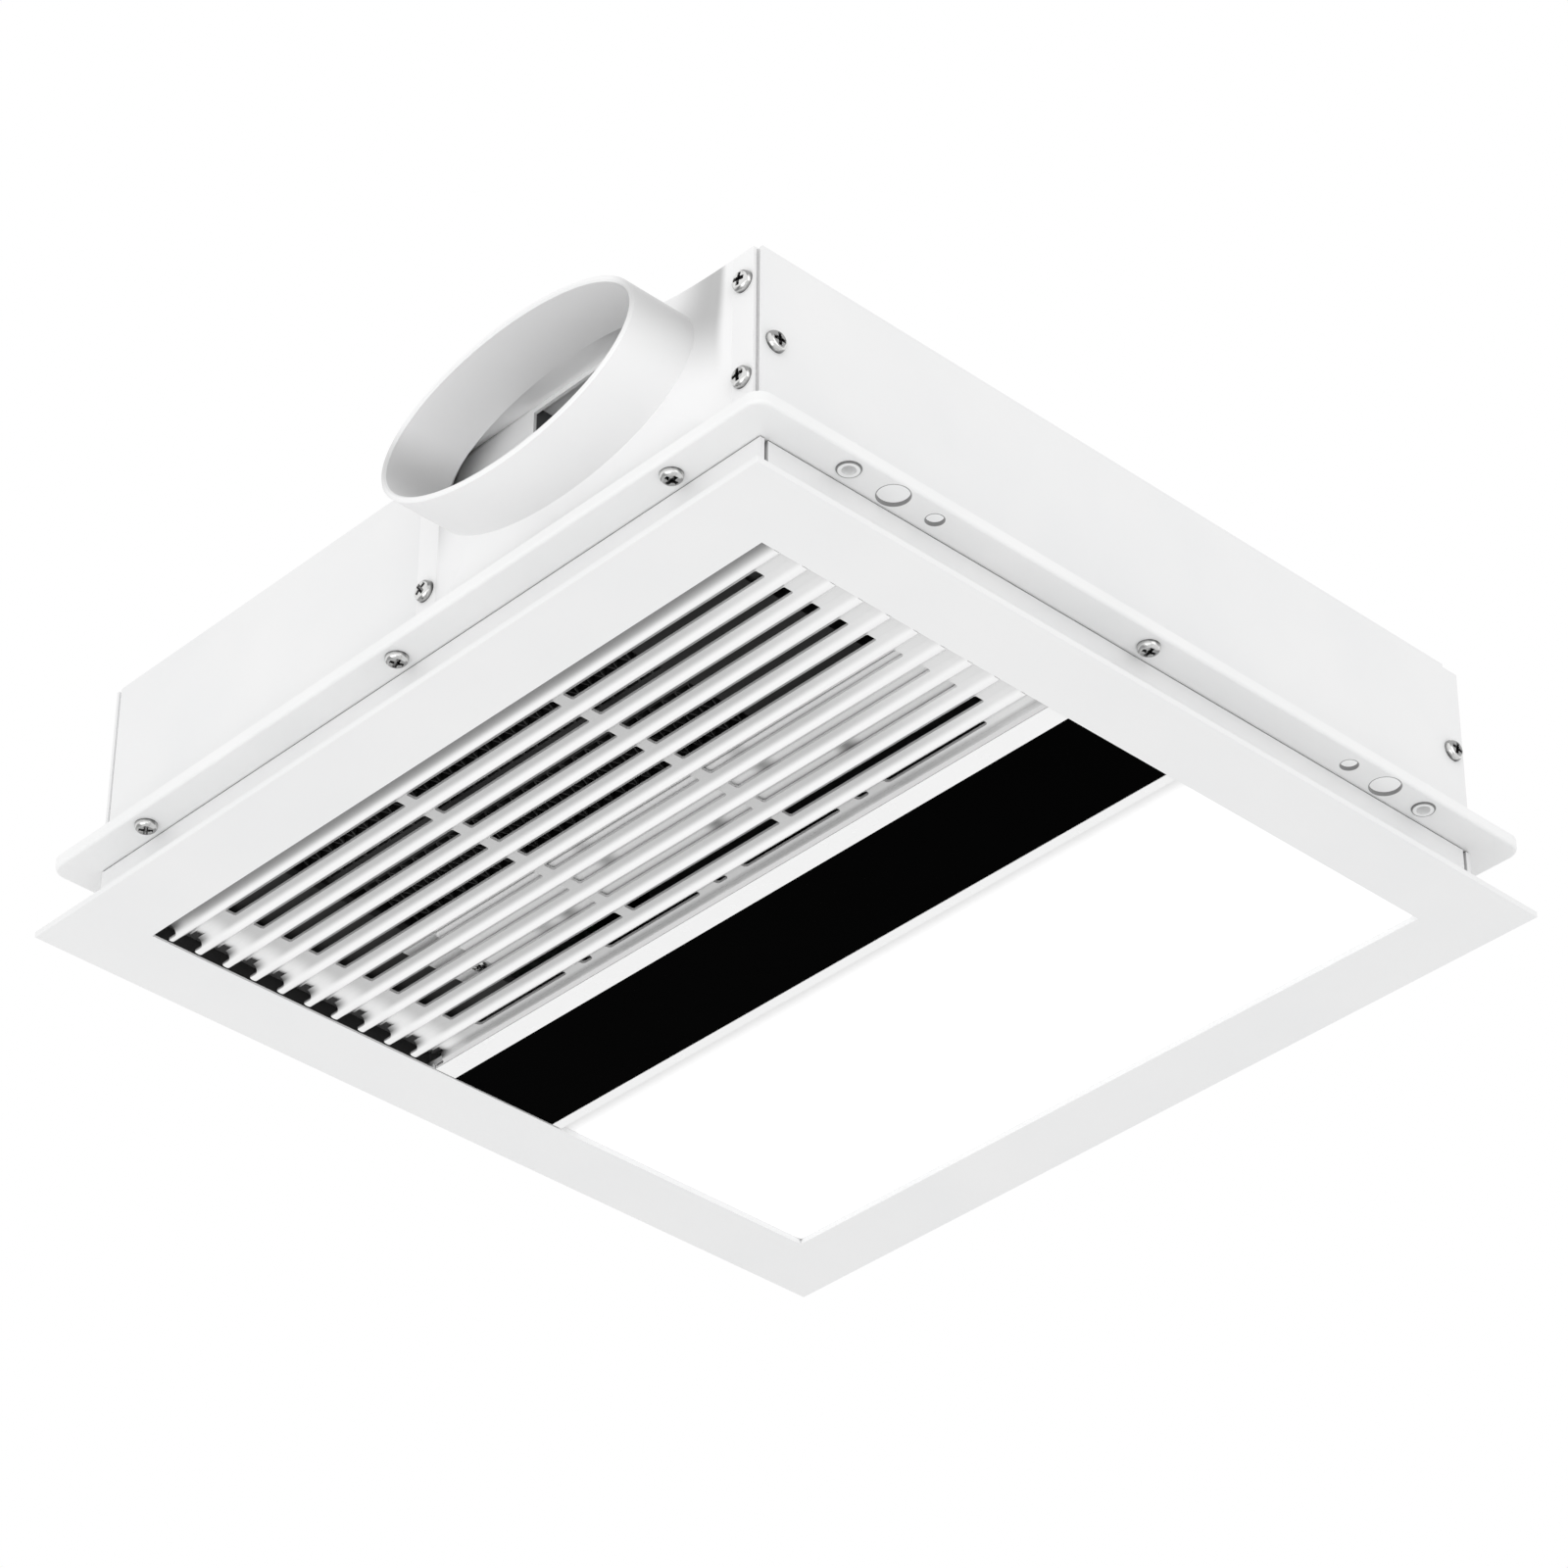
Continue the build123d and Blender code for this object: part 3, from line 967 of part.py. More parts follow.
# Grille: sheet pressed into ribs that run along X, with slots in every valley
RIB_Y = [RIB_FIRST_Y + rib * RIB_PITCH for rib in range(RIB_COUNT)]
RIB_FOOT = RIB_CREST / 2 + RIB_FLANK
CREST_Z = BORDER_TOP - RIB_PROUD
GRILLE_TOP = BORDER_TOP + GRILLE_T
GRILLE_HIGH_Y = DIVIDER_LOW_Y - SEAT_GAP
GRILLE_END_Z = FACE_Z + BEZEL_RECESS
VALLEYS = [(-OPEN_HALF, RIB_Y[0] - RIB_FOOT)]
VALLEYS += [(rib_y + RIB_FOOT, rib_y + RIB_PITCH - RIB_FOOT) for rib_y in RIB_Y[:-1]]
VALLEYS += [(RIB_Y[-1] + RIB_FOOT, END_WALL_Y)]


def rib_section(rib_y, raise_z):
    """Four corners of one rib's outside, from its low Y foot over the crest to its high Y foot."""
    return [(rib_y - RIB_FOOT, BORDER_TOP + raise_z), (rib_y - RIB_CREST / 2, CREST_Z + raise_z),
            (rib_y + RIB_CREST / 2, CREST_Z + raise_z), (rib_y + RIB_FOOT, BORDER_TOP + raise_z)]


def rib_corners(outline, heights, low_y, high_y):
    """The corners of the outline at the given heights, between two limits across the ribs."""
    corners = outline.vertices().filter_by(lambda v: low_y < v.X < high_y)
    return corners.filter_by(lambda v: min(abs(v.Y - z) for z in heights) < FIT_GAP)


def bend_point(radius, turn):
    """A point of a valley's upturned end, by radius and angle from the level floor."""
    centre_z = BORDER_TOP + VALLEY_BEND_R
    return (VALLEY_END_X - radius * sin(radians(turn)), centre_z - radius * cos(radians(turn)))


underside = [(-TUCK_HALF, BORDER_TOP)]
upperside = [(-TUCK_HALF, GRILLE_TOP)]
for rib_y in RIB_Y:
    underside += rib_section(rib_y, 0)
    upperside += rib_section(rib_y, GRILLE_T)
underside += [(END_WALL_Y, BORDER_TOP), (END_WALL_Y + END_WALL_RUN, GRILLE_END_Z), (GRILLE_HIGH_Y, GRILLE_END_Z)]
upperside += [(END_WALL_Y + GRILLE_T, GRILLE_TOP), (END_WALL_Y + END_WALL_RUN + GRILLE_T, GRILLE_END_Z + GRILLE_T),
              (GRILLE_HIGH_Y, GRILLE_END_Z + GRILLE_T)]
with BuildPart() as outlet_grille:
    with BuildSketch(Plane.YZ.offset(RIB_TIP_X)) as wave:
        Polygon(*underside, *upperside[::-1], align=None)
        last_foot = RIB_Y[-1] + RIB_FOOT + FIT_GAP
        fillet(rib_corners(wave, (CREST_Z, CREST_Z + GRILLE_T), -OPEN_HALF, last_foot), RIB_ROUND)
        fillet(rib_corners(wave, (BORDER_TOP, GRILLE_TOP), -OPEN_HALF, last_foot), FOOT_ROUND)
    extrude(amount=FIT_HALF - RIB_TIP_X)
    with BuildSketch(Plane.XY.offset(CREST_Z)) as slots:
        for rib_y in RIB_Y[:-1]:
            slot_x = SLOT_LOW_X
            for length in (SLOT_SIDE, SLOT_MIDDLE, SLOT_SIDE):
                with Locations((slot_x + length / 2, rib_y + RIB_PITCH / 2)):
                    Rectangle(length, SLOT_WIDTH)
                slot_x += length + BRIDGE
        chamfer(slots.vertices(), SLOT_CORNER)
    extrude(amount=RIB_PROUD + GRILLE_T, mode=Mode.SUBTRACT)
    with BuildSketch(Plane.XY.offset(CREST_Z)):
        with Locations((LAST_SLOT_X, LAST_SLOT_Y)):
            with GridLocations(LAST_SLOT_PITCH, 0, LAST_SLOT_COUNT, 1):
                RectangleRounded(LAST_SLOT_LENGTH, LAST_SLOT_WIDTH, LAST_SLOT_ROUND)
            with GridLocations(LAST_SLOT_PITCH, 0, LAST_SLOT_COUNT - 1, 1):
                RectangleRounded(LAST_HOLE_LENGTH, LAST_SLOT_WIDTH, LAST_SLOT_ROUND)
        for low_y, high_y in VALLEYS:
            with Locations((RIB_TIP_X, (low_y + high_y) / 2)):
                RectangleRounded(2 * NOTCH_LENGTH, NOTCH_WIDTH, NOTCH_ROUND)
        with Locations((RIB_TIP_X, -TUCK_HALF)):
            Rectangle(2 * NOTCH_LENGTH, 2 * TUCK)
    extrude(amount=RIB_PROUD + GRILLE_T, mode=Mode.SUBTRACT)
    for low_y, high_y in VALLEYS:
        block(RIB_TIP_X, VALLEY_END_X, low_y, high_y, BORDER_TOP, GRILLE_TOP, Mode.SUBTRACT)
        with BuildSketch(Plane.XZ.offset(-high_y)):
            with BuildLine():
                lower = ThreePointArc(bend_point(VALLEY_BEND_R, 0), bend_point(VALLEY_BEND_R, VALLEY_BEND / 2),
                                      bend_point(VALLEY_BEND_R, VALLEY_BEND))
                upper = ThreePointArc(bend_point(VALLEY_BEND_R - GRILLE_T, 0),
                                      bend_point(VALLEY_BEND_R - GRILLE_T, VALLEY_BEND / 2),
                                      bend_point(VALLEY_BEND_R - GRILLE_T, VALLEY_BEND))
                Line(lower @ 0, upper @ 0)
                Line(lower @ 1, upper @ 1)
            make_face()
        extrude(amount=high_y - low_y)
    with BuildSketch(Plane.YZ.offset(FIT_HALF - GRILLE_T)):
        for rib_y in RIB_Y:
            Polygon(*rib_section(rib_y, 0), (rib_y + RIB_FOOT, GRILLE_TOP), (rib_y - RIB_FOOT, GRILLE_TOP), align=None)
    extrude(amount=GRILLE_T)
    block(FIT_HALF, TUCK_HALF, -TUCK_HALF, GRILLE_HIGH_Y, BORDER_TOP, GRILLE_TOP)
save(outlet_grille, "outlet_grille")

# Display bezel: a carrier plate whose divider and strip stand in the opening beside the lens
DISPLAY_Y = (DISPLAY_LOW_Y + DISPLAY_HIGH_Y) / 2
with BuildPart() as display_bezel:
    block(-TUCK_HALF, TUCK_HALF, DIVIDER_LOW_Y, LAMP_LOW_Y, BORDER_TOP, BEZEL_TOP)
    block(-FIT_HALF, FIT_HALF, DIVIDER_LOW_Y, DISPLAY_LOW_Y, FACE_Z + BEZEL_RECESS, BORDER_TOP)
    block(-FIT_HALF, FIT_HALF, DISPLAY_HIGH_Y, LAMP_LOW_Y, FACE_Z + BEZEL_RECESS, BORDER_TOP)
    block(-DIGITS_WIDTH / 2, DIGITS_WIDTH / 2, DISPLAY_Y - DIGITS_DEPTH / 2, DISPLAY_Y + DIGITS_DEPTH / 2,
          BORDER_TOP, BEZEL_TOP, Mode.SUBTRACT)
save(display_bezel, "display_bezel")
with BuildPart() as display_lens:
    block(-FIT_HALF, FIT_HALF, DISPLAY_LOW_Y + FIT_GAP, DISPLAY_HIGH_Y - FIT_GAP, FACE_Z + LENS_RECESS, BORDER_TOP)
save(display_lens, "display_lens")
with BuildPart() as display_digits:
    block(SEAT_GAP - DIGITS_WIDTH / 2, DIGITS_WIDTH / 2 - SEAT_GAP, DISPLAY_Y - DIGITS_DEPTH / 2 + SEAT_GAP,
          DISPLAY_Y + DIGITS_DEPTH / 2 - SEAT_GAP, BORDER_TOP + SEAT_GAP, BEZEL_TOP)
save(display_digits, "display_digits")
with BuildPart() as display_board:
    with Locations((0, DISPLAY_Y, BEZEL_TOP + BOARD_T / 2)):
        Box(DISPLAY_BOARD_LENGTH, DIGITS_DEPTH + DISPLAY_BOARD_MARGIN, BOARD_T)
save(display_board, "display_board")

# Lamp: diffuser on the border, with a tray of LED strips above it and the driver on the tray
with BuildPart() as light_diffuser:
    block(-TUCK_HALF, TUCK_HALF, TRAY_LOW_Y, TUCK_HALF, BORDER_TOP, DIFFUSER_TOP)
save(light_diffuser, "light_diffuser")
with BuildPart() as light_tray:
    block(-TUCK_HALF, TUCK_HALF, TRAY_LOW_Y, TUCK_HALF, DIFFUSER_TOP, TRAY_TOP)
    block(TRAY_T - TUCK_HALF, TUCK_HALF - TRAY_T, TRAY_LOW_Y + TRAY_T, TUCK_HALF - TRAY_T, DIFFUSER_TOP,
          TRAY_TOP - TRAY_T, Mode.SUBTRACT)
save(light_tray, "light_tray")
STRIP_TOP = TRAY_TOP - TRAY_T
STRIP_LENGTH = 2 * (OPEN_HALF - STRIP_MARGIN)
STRIP_Y = (TRAY_LOW_Y + TUCK_HALF) / 2
STRIP_PITCH = (TUCK_HALF - TRAY_LOW_Y) / STRIP_COUNT
with BuildPart() as led_strips:
    with Locations((0, STRIP_Y, STRIP_TOP - BOARD_T / 2)):
        with GridLocations(0, STRIP_PITCH, 1, STRIP_COUNT):
            Box(STRIP_LENGTH, STRIP_WIDTH, BOARD_T)
    with Locations((0, STRIP_Y, STRIP_TOP - BOARD_T - LED_H / 2)):
        with GridLocations(STRIP_LENGTH / LED_COUNT, STRIP_PITCH, LED_COUNT, STRIP_COUNT):
            Box(LED_SIDE, LED_SIDE, LED_H)
save(led_strips, "led_strips")
with BuildPart() as led_driver:
    with Locations((DRIVER_X, DRIVER_Y, TRAY_TOP + DRIVER_HEIGHT / 2)):
        Box(DRIVER_WIDTH, DRIVER_LENGTH, DRIVER_HEIGHT)
    fillet(led_driver.edges().filter_by(Axis.Z), DRIVER_ROUND)
save(led_driver, "led_driver")

# Spring clips: leaves on the skirts that stand up through the flange's opening
CLIP_X = FLANGE_OPENING / 2 - SEAT_GAP
CLIP_OUTSIDE = [(SKIRT_INNER, CLIP_FOOT_Z), (SKIRT_INNER, CLIP_BEND_Z), (CLIP_X, CLIP_BEND_Z + CLIP_RAMP_H),
                (CLIP_X, CLIP_TOP_Z), (CLIP_X - CLIP_HOOK, CLIP_TOP_Z + CLIP_HOOK)]
CLIP_INSIDE = [(x - CLIP_T, z - CLIP_T / 2) for x, z in CLIP_OUTSIDE[1:]]
with BuildPart() as face_clips:
    for place in (-CLIP_Y, CLIP_Y):
        with BuildSketch(Plane.XZ.offset(-place - CLIP_WIDTH / 2)):
            Polygon(*CLIP_OUTSIDE, *CLIP_INSIDE[::-1], (SKIRT_INNER - CLIP_T, CLIP_FOOT_Z), align=None)
        extrude(amount=CLIP_WIDTH)
    mirror(about=Plane.YZ)
save(face_clips, "face_clips")
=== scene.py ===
"""Dresses a bathroom ceiling unit: extractor fan, warm air heater, display strip and lamp in one housing.

Metres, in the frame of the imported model. Z points up to the ceiling and the face looks down.
"""

import logging
import math
from dataclasses import dataclass, field
from enum import Enum

import bmesh
import bpy
from mathutils import Matrix, Vector


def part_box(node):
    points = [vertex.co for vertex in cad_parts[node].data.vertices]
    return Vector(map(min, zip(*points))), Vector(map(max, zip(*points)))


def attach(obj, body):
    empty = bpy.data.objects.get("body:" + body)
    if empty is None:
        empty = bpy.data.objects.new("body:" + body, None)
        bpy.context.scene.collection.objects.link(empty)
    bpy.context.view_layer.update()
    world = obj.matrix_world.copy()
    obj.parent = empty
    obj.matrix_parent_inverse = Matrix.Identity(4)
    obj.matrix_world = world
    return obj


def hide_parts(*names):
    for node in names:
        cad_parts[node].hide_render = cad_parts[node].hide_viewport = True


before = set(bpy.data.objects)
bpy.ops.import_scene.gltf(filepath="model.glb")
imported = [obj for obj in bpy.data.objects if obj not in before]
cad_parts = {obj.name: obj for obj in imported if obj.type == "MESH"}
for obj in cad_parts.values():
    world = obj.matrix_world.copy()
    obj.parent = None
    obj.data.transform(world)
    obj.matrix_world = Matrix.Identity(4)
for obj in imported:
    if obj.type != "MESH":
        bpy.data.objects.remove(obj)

log = logging.getLogger("ceiling_unit")

MM = 0.001

# Places in millimetres: the flange's line of holes, the collar's middle and the cross member's underside
HOLE_LINE = 143.0
COLLAR_X = 69.3
MEMBER_Z = -17.6


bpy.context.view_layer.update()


# Colour and node helpers


def linear(hex_colour: str) -> tuple[float, float, float, float]:
    """Turn an sRGB hex value into the linear colour that Blender's sockets take.

    Args:
        hex_colour: Six hex digits after a hash.

    Returns:
        Linear red, green, blue and full opacity.
    """
    channels = [int(hex_colour[start:start + 2], 16) / 255 for start in (1, 3, 5)]
    return (*[c / 12.92 if c <= 0.04045 else ((c + 0.055) / 1.055) ** 2.4 for c in channels], 1.0)


def add_node(tree: bpy.types.NodeTree, kind: str, settings: dict | None = None,
             links: dict | None = None) -> bpy.types.Node:
    """Add one node with its settings and links.

    Args:
        tree: The material's or world's node tree.
        kind: The node's type name.
        settings: Input values by socket name or number, and properties by attribute name.
        links: Output sockets to link, by input name or number.

    Returns:
        The new node.
    """
    node = tree.nodes.new(kind)
    for key, value in (settings or {}).items():
        if isinstance(key, int) or key in node.inputs:
            node.inputs[key].default_value = value
        else:
            setattr(node, key, value)
    for key, source in (links or {}).items():
        tree.links.new(source, node.inputs[key])
    return node


def per_metre(size_mm: float) -> float:
    """Texture scale whose features have this size in millimetres."""
    return 1.0 / (size_mm * MM)


def blend_along(tree: bpy.types.NodeTree, value: bpy.types.NodeSocket, span_mm: tuple[float, float],
                colour: bpy.types.NodeSocket, other: str, share: float = 1.0) -> bpy.types.NodeSocket:
    """Fade one colour into another along a coordinate.

    Args:
        tree: The material's node tree.
        value: The coordinate in metres.
        span_mm: Where the fade starts and where the other colour is full, in millimetres.
        colour: The colour at the start.
        other: The other colour as a hex value.
        share: The most that the other colour takes.

    Returns:
        The faded colour.
    """
    start, full = span_mm
    fade = add_node(tree, "ShaderNodeMapRange",
                    {"interpolation_type": "SMOOTHSTEP", "From Min": start * MM, "From Max": full * MM,
                     "To Max": share}, {"Value": value})
    return add_node(tree, "ShaderNodeMix", {"data_type": "RGBA", 7: linear(other)},
                    {0: fade.outputs["Result"], 6: colour}).outputs[2]


# Finishes

# Stretch of brushed and drawn marks along each axis
BRUSH_STRETCH = (0.03, 1.0, 0.2)
# Slow drift of the tint over a surface in millimetres, and the part of its noise that counts
DRIFT_MM = 45.0
DRIFT_SPAN = (0.3, 0.7)
# Part of the grain's height that moves the roughness, how far it does, and the least roughness
GRAIN_SPAN = (0.25, 0.75)
ROUGHNESS_SWING = 0.05
LEAST_ROUGHNESS = 0.02
# Rays that look for shelter round a point, for the painted shade
SHADE_RAYS = 12
# Factors that flatten a place on to the plan
IN_PLAN = (1.0, 1.0, 0.0)


class Grain(Enum):
    """How a surface was made, which sets its small relief.

    Spark grain and brushed or drawn marks are too fine to show, so the finishes draw them coarser.
    """

    ORANGE_PEEL = "orange peel"
    SPARK = "spark"
    BRUSHED = "brushed"
    SPANGLE = "spangle"
    PLAIN = "plain"


@dataclass(frozen=True)
class Finish:
    """One real material with the way its surface was made.

    The grain size is in millimetres, and so is the relief, which is the height of its bump. Shade is painted
    in the crevice shade colour where the surface is shut in by something nearer than the given distance, over
    the given span of open sky. Left of the given x no shade is painted.
    """

    name: str
    colour: str
    roughness: float
    metallic: float = 0.0
    ior: float = 1.5
    coat: float = 0.0
    coat_roughness: float = 0.1
    grain: Grain = Grain.SPARK
    grain_mm: float = 0.6
    relief_mm: float = 0.004
    tint: str = "#FFFFFF"
    tint_share: float = 0.06
    specular: float = 0.5
    crevice_shade: str = ""
    crevice_shade_mm: float = 2.5
    crevice_shade_span: tuple[float, float] = (0.08, 0.5)
    unshaded_x_mm: float | None = None

    def height(self, tree: bpy.types.NodeTree, spot: bpy.types.NodeSocket) -> bpy.types.NodeSocket:
        """Make the height pattern of the grain.

        Args:
            tree: The material's node tree.
            spot: Object coordinates in metres.

        Returns:
            A value between 0 and 1.
        """
        scale = per_metre(self.grain_mm)
        if self.grain is Grain.BRUSHED:
            streaks = add_node(tree, "ShaderNodeMapping", {"Scale": BRUSH_STRETCH}, {"Vector": spot})
            noise = add_node(tree, "ShaderNodeTexNoise", {"Scale": scale, "Detail": 3.0},
                             {"Vector": streaks.outputs["Vector"]})
            return noise.outputs["Fac"]
        if self.grain is Grain.SPANGLE:
            cells = add_node(tree, "ShaderNodeTexVoronoi", {"Scale": scale}, {"Vector": spot})
            grey = add_node(tree, "ShaderNodeRGBToBW", links={"Color": cells.outputs["Color"]})
            return grey.outputs["Val"]
        detail = 1.0 if self.grain is Grain.ORANGE_PEEL else 5.0
        noise = add_node(tree, "ShaderNodeTexNoise", {"Scale": scale, "Detail": detail}, {"Vector": spot})
        return noise.outputs["Fac"]

    def shade(self, tree: bpy.types.NodeTree, spot: bpy.types.NodeSocket,
              colour: bpy.types.NodeSocket) -> bpy.types.NodeSocket:
        """Paint shade in the crevice colour where the surface is shut in.

        Args:
            tree: The material's node tree.
            spot: Object coordinates in metres.
            colour: The colour of the open surface.

        Returns:
            The colour for the shader.
        """
        if not self.crevice_shade:
            return colour
        # Painted shade: the crevice shade colour goes where the surface is shut in
        shelter = add_node(tree, "ShaderNodeAmbientOcclusion",
                           {"samples": SHADE_RAYS, "Distance": self.crevice_shade_mm * MM})
        shut, clear = self.crevice_shade_span
        share = add_node(tree, "ShaderNodeMapRange", {"From Min": shut, "From Max": clear},
                         {"Value": shelter.outputs["AO"]}).outputs["Result"]
        if self.unshaded_x_mm is not None:
            place = add_node(tree, "ShaderNodeSeparateXYZ", links={0: spot}).outputs
            unshaded = add_node(tree, "ShaderNodeMath", {"operation": "LESS_THAN", 1: self.unshaded_x_mm * MM},
                              {0: place["X"]})
            share = add_node(tree, "ShaderNodeMath", {"operation": "MAXIMUM"},
                             {0: share, 1: unshaded.outputs[0]}).outputs[0]
        return add_node(tree, "ShaderNodeMix", {"data_type": "RGBA", 6: linear(self.crevice_shade)},
                        {0: share, 7: colour}).outputs[2]

    def build(self) -> bpy.types.Material:
        """Make the node material.

        Returns:
            The material, ready for a slot.
        """
        material = bpy.data.materials.new(self.name)
        material.use_nodes = True
        material.diffuse_color = linear(self.colour)
        tree = material.node_tree
        shader = tree.nodes["Principled BSDF"]
        for socket, value in (("Metallic", self.metallic), ("IOR", self.ior), ("Coat Weight", self.coat),
                              ("Coat Roughness", self.coat_roughness), ("Specular IOR Level", self.specular)):
            shader.inputs[socket].default_value = value
        spot = add_node(tree, "ShaderNodeTexCoord").outputs["Object"]
        height = self.height(tree, spot)
        drift = add_node(tree, "ShaderNodeTexNoise", {"Scale": per_metre(DRIFT_MM), "Detail": 2.0},
                         {"Vector": spot})
        share = add_node(tree, "ShaderNodeMapRange",
                         {"From Min": DRIFT_SPAN[0], "From Max": DRIFT_SPAN[1], "To Max": self.tint_share},
                         {"Value": drift.outputs["Fac"]})
        tinted = add_node(tree, "ShaderNodeMix",
                          {"data_type": "RGBA", 6: linear(self.colour), 7: linear(self.tint)},
                          {0: share.outputs["Result"]})
        tree.links.new(self.shade(tree, spot, tinted.outputs[2]), shader.inputs["Base Color"])
        smooth = max(self.roughness - ROUGHNESS_SWING, LEAST_ROUGHNESS)
        spread = add_node(tree, "ShaderNodeMapRange",
                          {"From Min": GRAIN_SPAN[0], "From Max": GRAIN_SPAN[1], "To Min": smooth,
                           "To Max": self.roughness + ROUGHNESS_SWING}, {"Value": height})
        tree.links.new(spread.outputs["Result"], shader.inputs["Roughness"])
        bump = add_node(tree, "ShaderNodeBump", {"Strength": 1.0, "Distance": self.relief_mm * MM},
                        {"Height": height})
        tree.links.new(bump.outputs["Normal"], shader.inputs["Normal"])
        return material


@dataclass(frozen=True)
class LitPanel(Finish):
    """Opal sheet lit from behind, dimmer along the rims that hide the lamps.

    The light falls off slowly beside the display strip and sharply behind the frame. Sizes and spans are in
    millimetres.
    """

    glow: float = 0.5
    unlit: str = "#000000"
    display_rim_mm: tuple[float, float] = (37.5, 26.8)
    frame_rim_mm: float = 2.0
    frame_rim_share: float = 0.9

    def light(self, tree: bpy.types.NodeTree) -> bpy.types.NodeSocket:
        """Colour of the light that comes through.

        Args:
            tree: The material's node tree.

        Returns:
            The colour for the emission socket.
        """
        spot = add_node(tree, "ShaderNodeTexCoord").outputs["Object"]
        place = add_node(tree, "ShaderNodeSeparateXYZ", links={0: spot}).outputs
        colour = add_node(tree, "ShaderNodeRGB").outputs[0]
        colour.default_value = linear(self.colour)
        low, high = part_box("light_diffuser")
        sides = (("X", low[0] / MM, self.frame_rim_mm), ("X", high[0] / MM, -self.frame_rim_mm),
                 ("Y", high[1] / MM, -self.frame_rim_mm))
        for name, edge, inward in sides:
            colour = blend_along(tree, place[name], (edge + inward, edge), colour, self.unlit,
                                 self.frame_rim_share)
        return blend_along(tree, place["Y"], self.display_rim_mm, colour, self.unlit)

    def build(self) -> bpy.types.Material:
        """Make the node material and light it.

        Returns:
            The material, ready for a slot.
        """
        material = super().build()
        tree = material.node_tree
        shader = tree.nodes["Principled BSDF"]
        tree.links.new(self.light(tree), shader.inputs["Emission Color"])
        shader.inputs["Emission Strength"].default_value = self.glow
        return material


@dataclass(frozen=True)
class ShadePaintedPressing(Finish):
    """Lacquer on a ribbed pressing, with shade and light painted into its colour.

    Shade is painted into the colour: the valley floors turn grey with depth, the floor beside the frame's
    edge and the display strip darkens, and the valleys darken where they turn up behind the frame. Light is
    painted
    too: the valley floors brighten towards both ends. Spans are in millimetres: where a fade starts and where
    it is full.
    """

    # Painted shade on the valley floors, full at the floor's depth
    floor: str = "#C4C4C4"
    depth_mm: tuple[float, float] = (-22.15, -21.0)
    # Painted shade beside the frame's edge and, weaker, beside the display strip
    rim: str = "#868686"
    low_rim_mm: tuple[float, float] = (-120.9, -124.4)
    high_rim_mm: tuple[float, float] = (-26.0, -24.4)
    high_rim_share: float = 0.35
    # Painted light on the valley floors towards both ends
    lip_light: str = "#F4F4F4"
    lip_mm: tuple[float, float] = (-107.0, -114.5)
    lip_share: float = 0.8
    far_lip_mm: tuple[float, float] = (70.0, 122.0)
    far_lip_share: float = 0.6
    # Painted shade where the valleys turn up behind the frame
    tip: str = "#2B2B2B"
    tip_mm: tuple[float, float] = (-115.2, -121.8)
    tip_height_mm: tuple[float, float] = (-21.9, -20.9)

    def shade(self, tree: bpy.types.NodeTree, spot: bpy.types.NodeSocket,
              colour: bpy.types.NodeSocket) -> bpy.types.NodeSocket:
        """Lay the painted shade and light over the open colour.

        Args:
            tree: The material's node tree.
            spot: Object coordinates in metres.
            colour: The colour of the crests.

        Returns:
            The colour for the shader.
        """
        place = add_node(tree, "ShaderNodeSeparateXYZ", links={0: spot}).outputs
        colour = blend_along(tree, place["Z"], self.depth_mm, colour, self.floor)
        for span, share in ((self.lip_mm, self.lip_share), (self.far_lip_mm, self.far_lip_share)):
            colour = blend_along(tree, place["X"], span, colour, self.lip_light, share)
        for span, share in ((self.low_rim_mm, 1.0), (self.high_rim_mm, self.high_rim_share)):
            colour = blend_along(tree, place["Y"], span, colour, self.rim, share)
        shaded_tip = blend_along(tree, place["X"], self.tip_mm, colour, self.tip)
        low, high = self.tip_height_mm
        raised = add_node(tree, "ShaderNodeMapRange", {"From Min": low * MM, "From Max": high * MM},
                          {"Value": place["Z"]})
        mixed = add_node(tree, "ShaderNodeMix", {"data_type": "RGBA"},
                         {0: raised.outputs["Result"], 6: colour, 7: shaded_tip})
        return super().shade(tree, spot, mixed.outputs[2])


@dataclass(frozen=True)
class ShadePaintedHopper(Finish):
    """Moulded plastic with grey shade painted into the hollows beside the collar.

    The painted shade rises and falls with the distance from the collar's middle, fades in with height and
    fades out towards the mouth. Spans are in millimetres.
    """

    # Grey painted shade for the hollows beside the collar
    hollow_shade: str = "#BDBDBD"
    rise_mm: tuple[float, float] = (40.0, 53.0)
    fall_mm: tuple[float, float] = (57.5, 55.0)
    height_mm: tuple[float, float] = (22.0, 46.0)
    root_mm: tuple[float, float] = (-205.0, -158.0)

    def shade(self, tree: bpy.types.NodeTree, spot: bpy.types.NodeSocket,
              colour: bpy.types.NodeSocket) -> bpy.types.NodeSocket:
        """Paint the shade over the hollow on each side of the collar.

        Args:
            tree: The material's node tree.
            spot: Object coordinates in metres.
            colour: The colour of the open plastic.

        Returns:
            The colour for the shader.
        """
        place = add_node(tree, "ShaderNodeSeparateXYZ", links={0: spot}).outputs
        aside = add_node(tree, "ShaderNodeMath", {"operation": "SUBTRACT", 1: COLLAR_X * MM}, {0: place["X"]})
        away = add_node(tree, "ShaderNodeMath", {"operation": "ABSOLUTE"}, {0: aside.outputs[0]}).outputs[0]
        share = None
        for value, (start, full) in ((away, self.rise_mm), (away, self.fall_mm), (place["Z"], self.height_mm),
                                     (place["Y"], self.root_mm)):
            step = add_node(tree, "ShaderNodeMapRange", {"interpolation_type": "SMOOTHSTEP",
                                                         "From Min": start * MM, "From Max": full * MM},
                            {"Value": value}).outputs["Result"]
            share = step if share is None else add_node(tree, "ShaderNodeMath", {"operation": "MULTIPLY"},
                                                        {0: share, 1: step}).outputs[0]
        return add_node(tree, "ShaderNodeMix", {"data_type": "RGBA", 7: linear(self.hollow_shade)},
                        {0: share, 6: colour}).outputs[2]


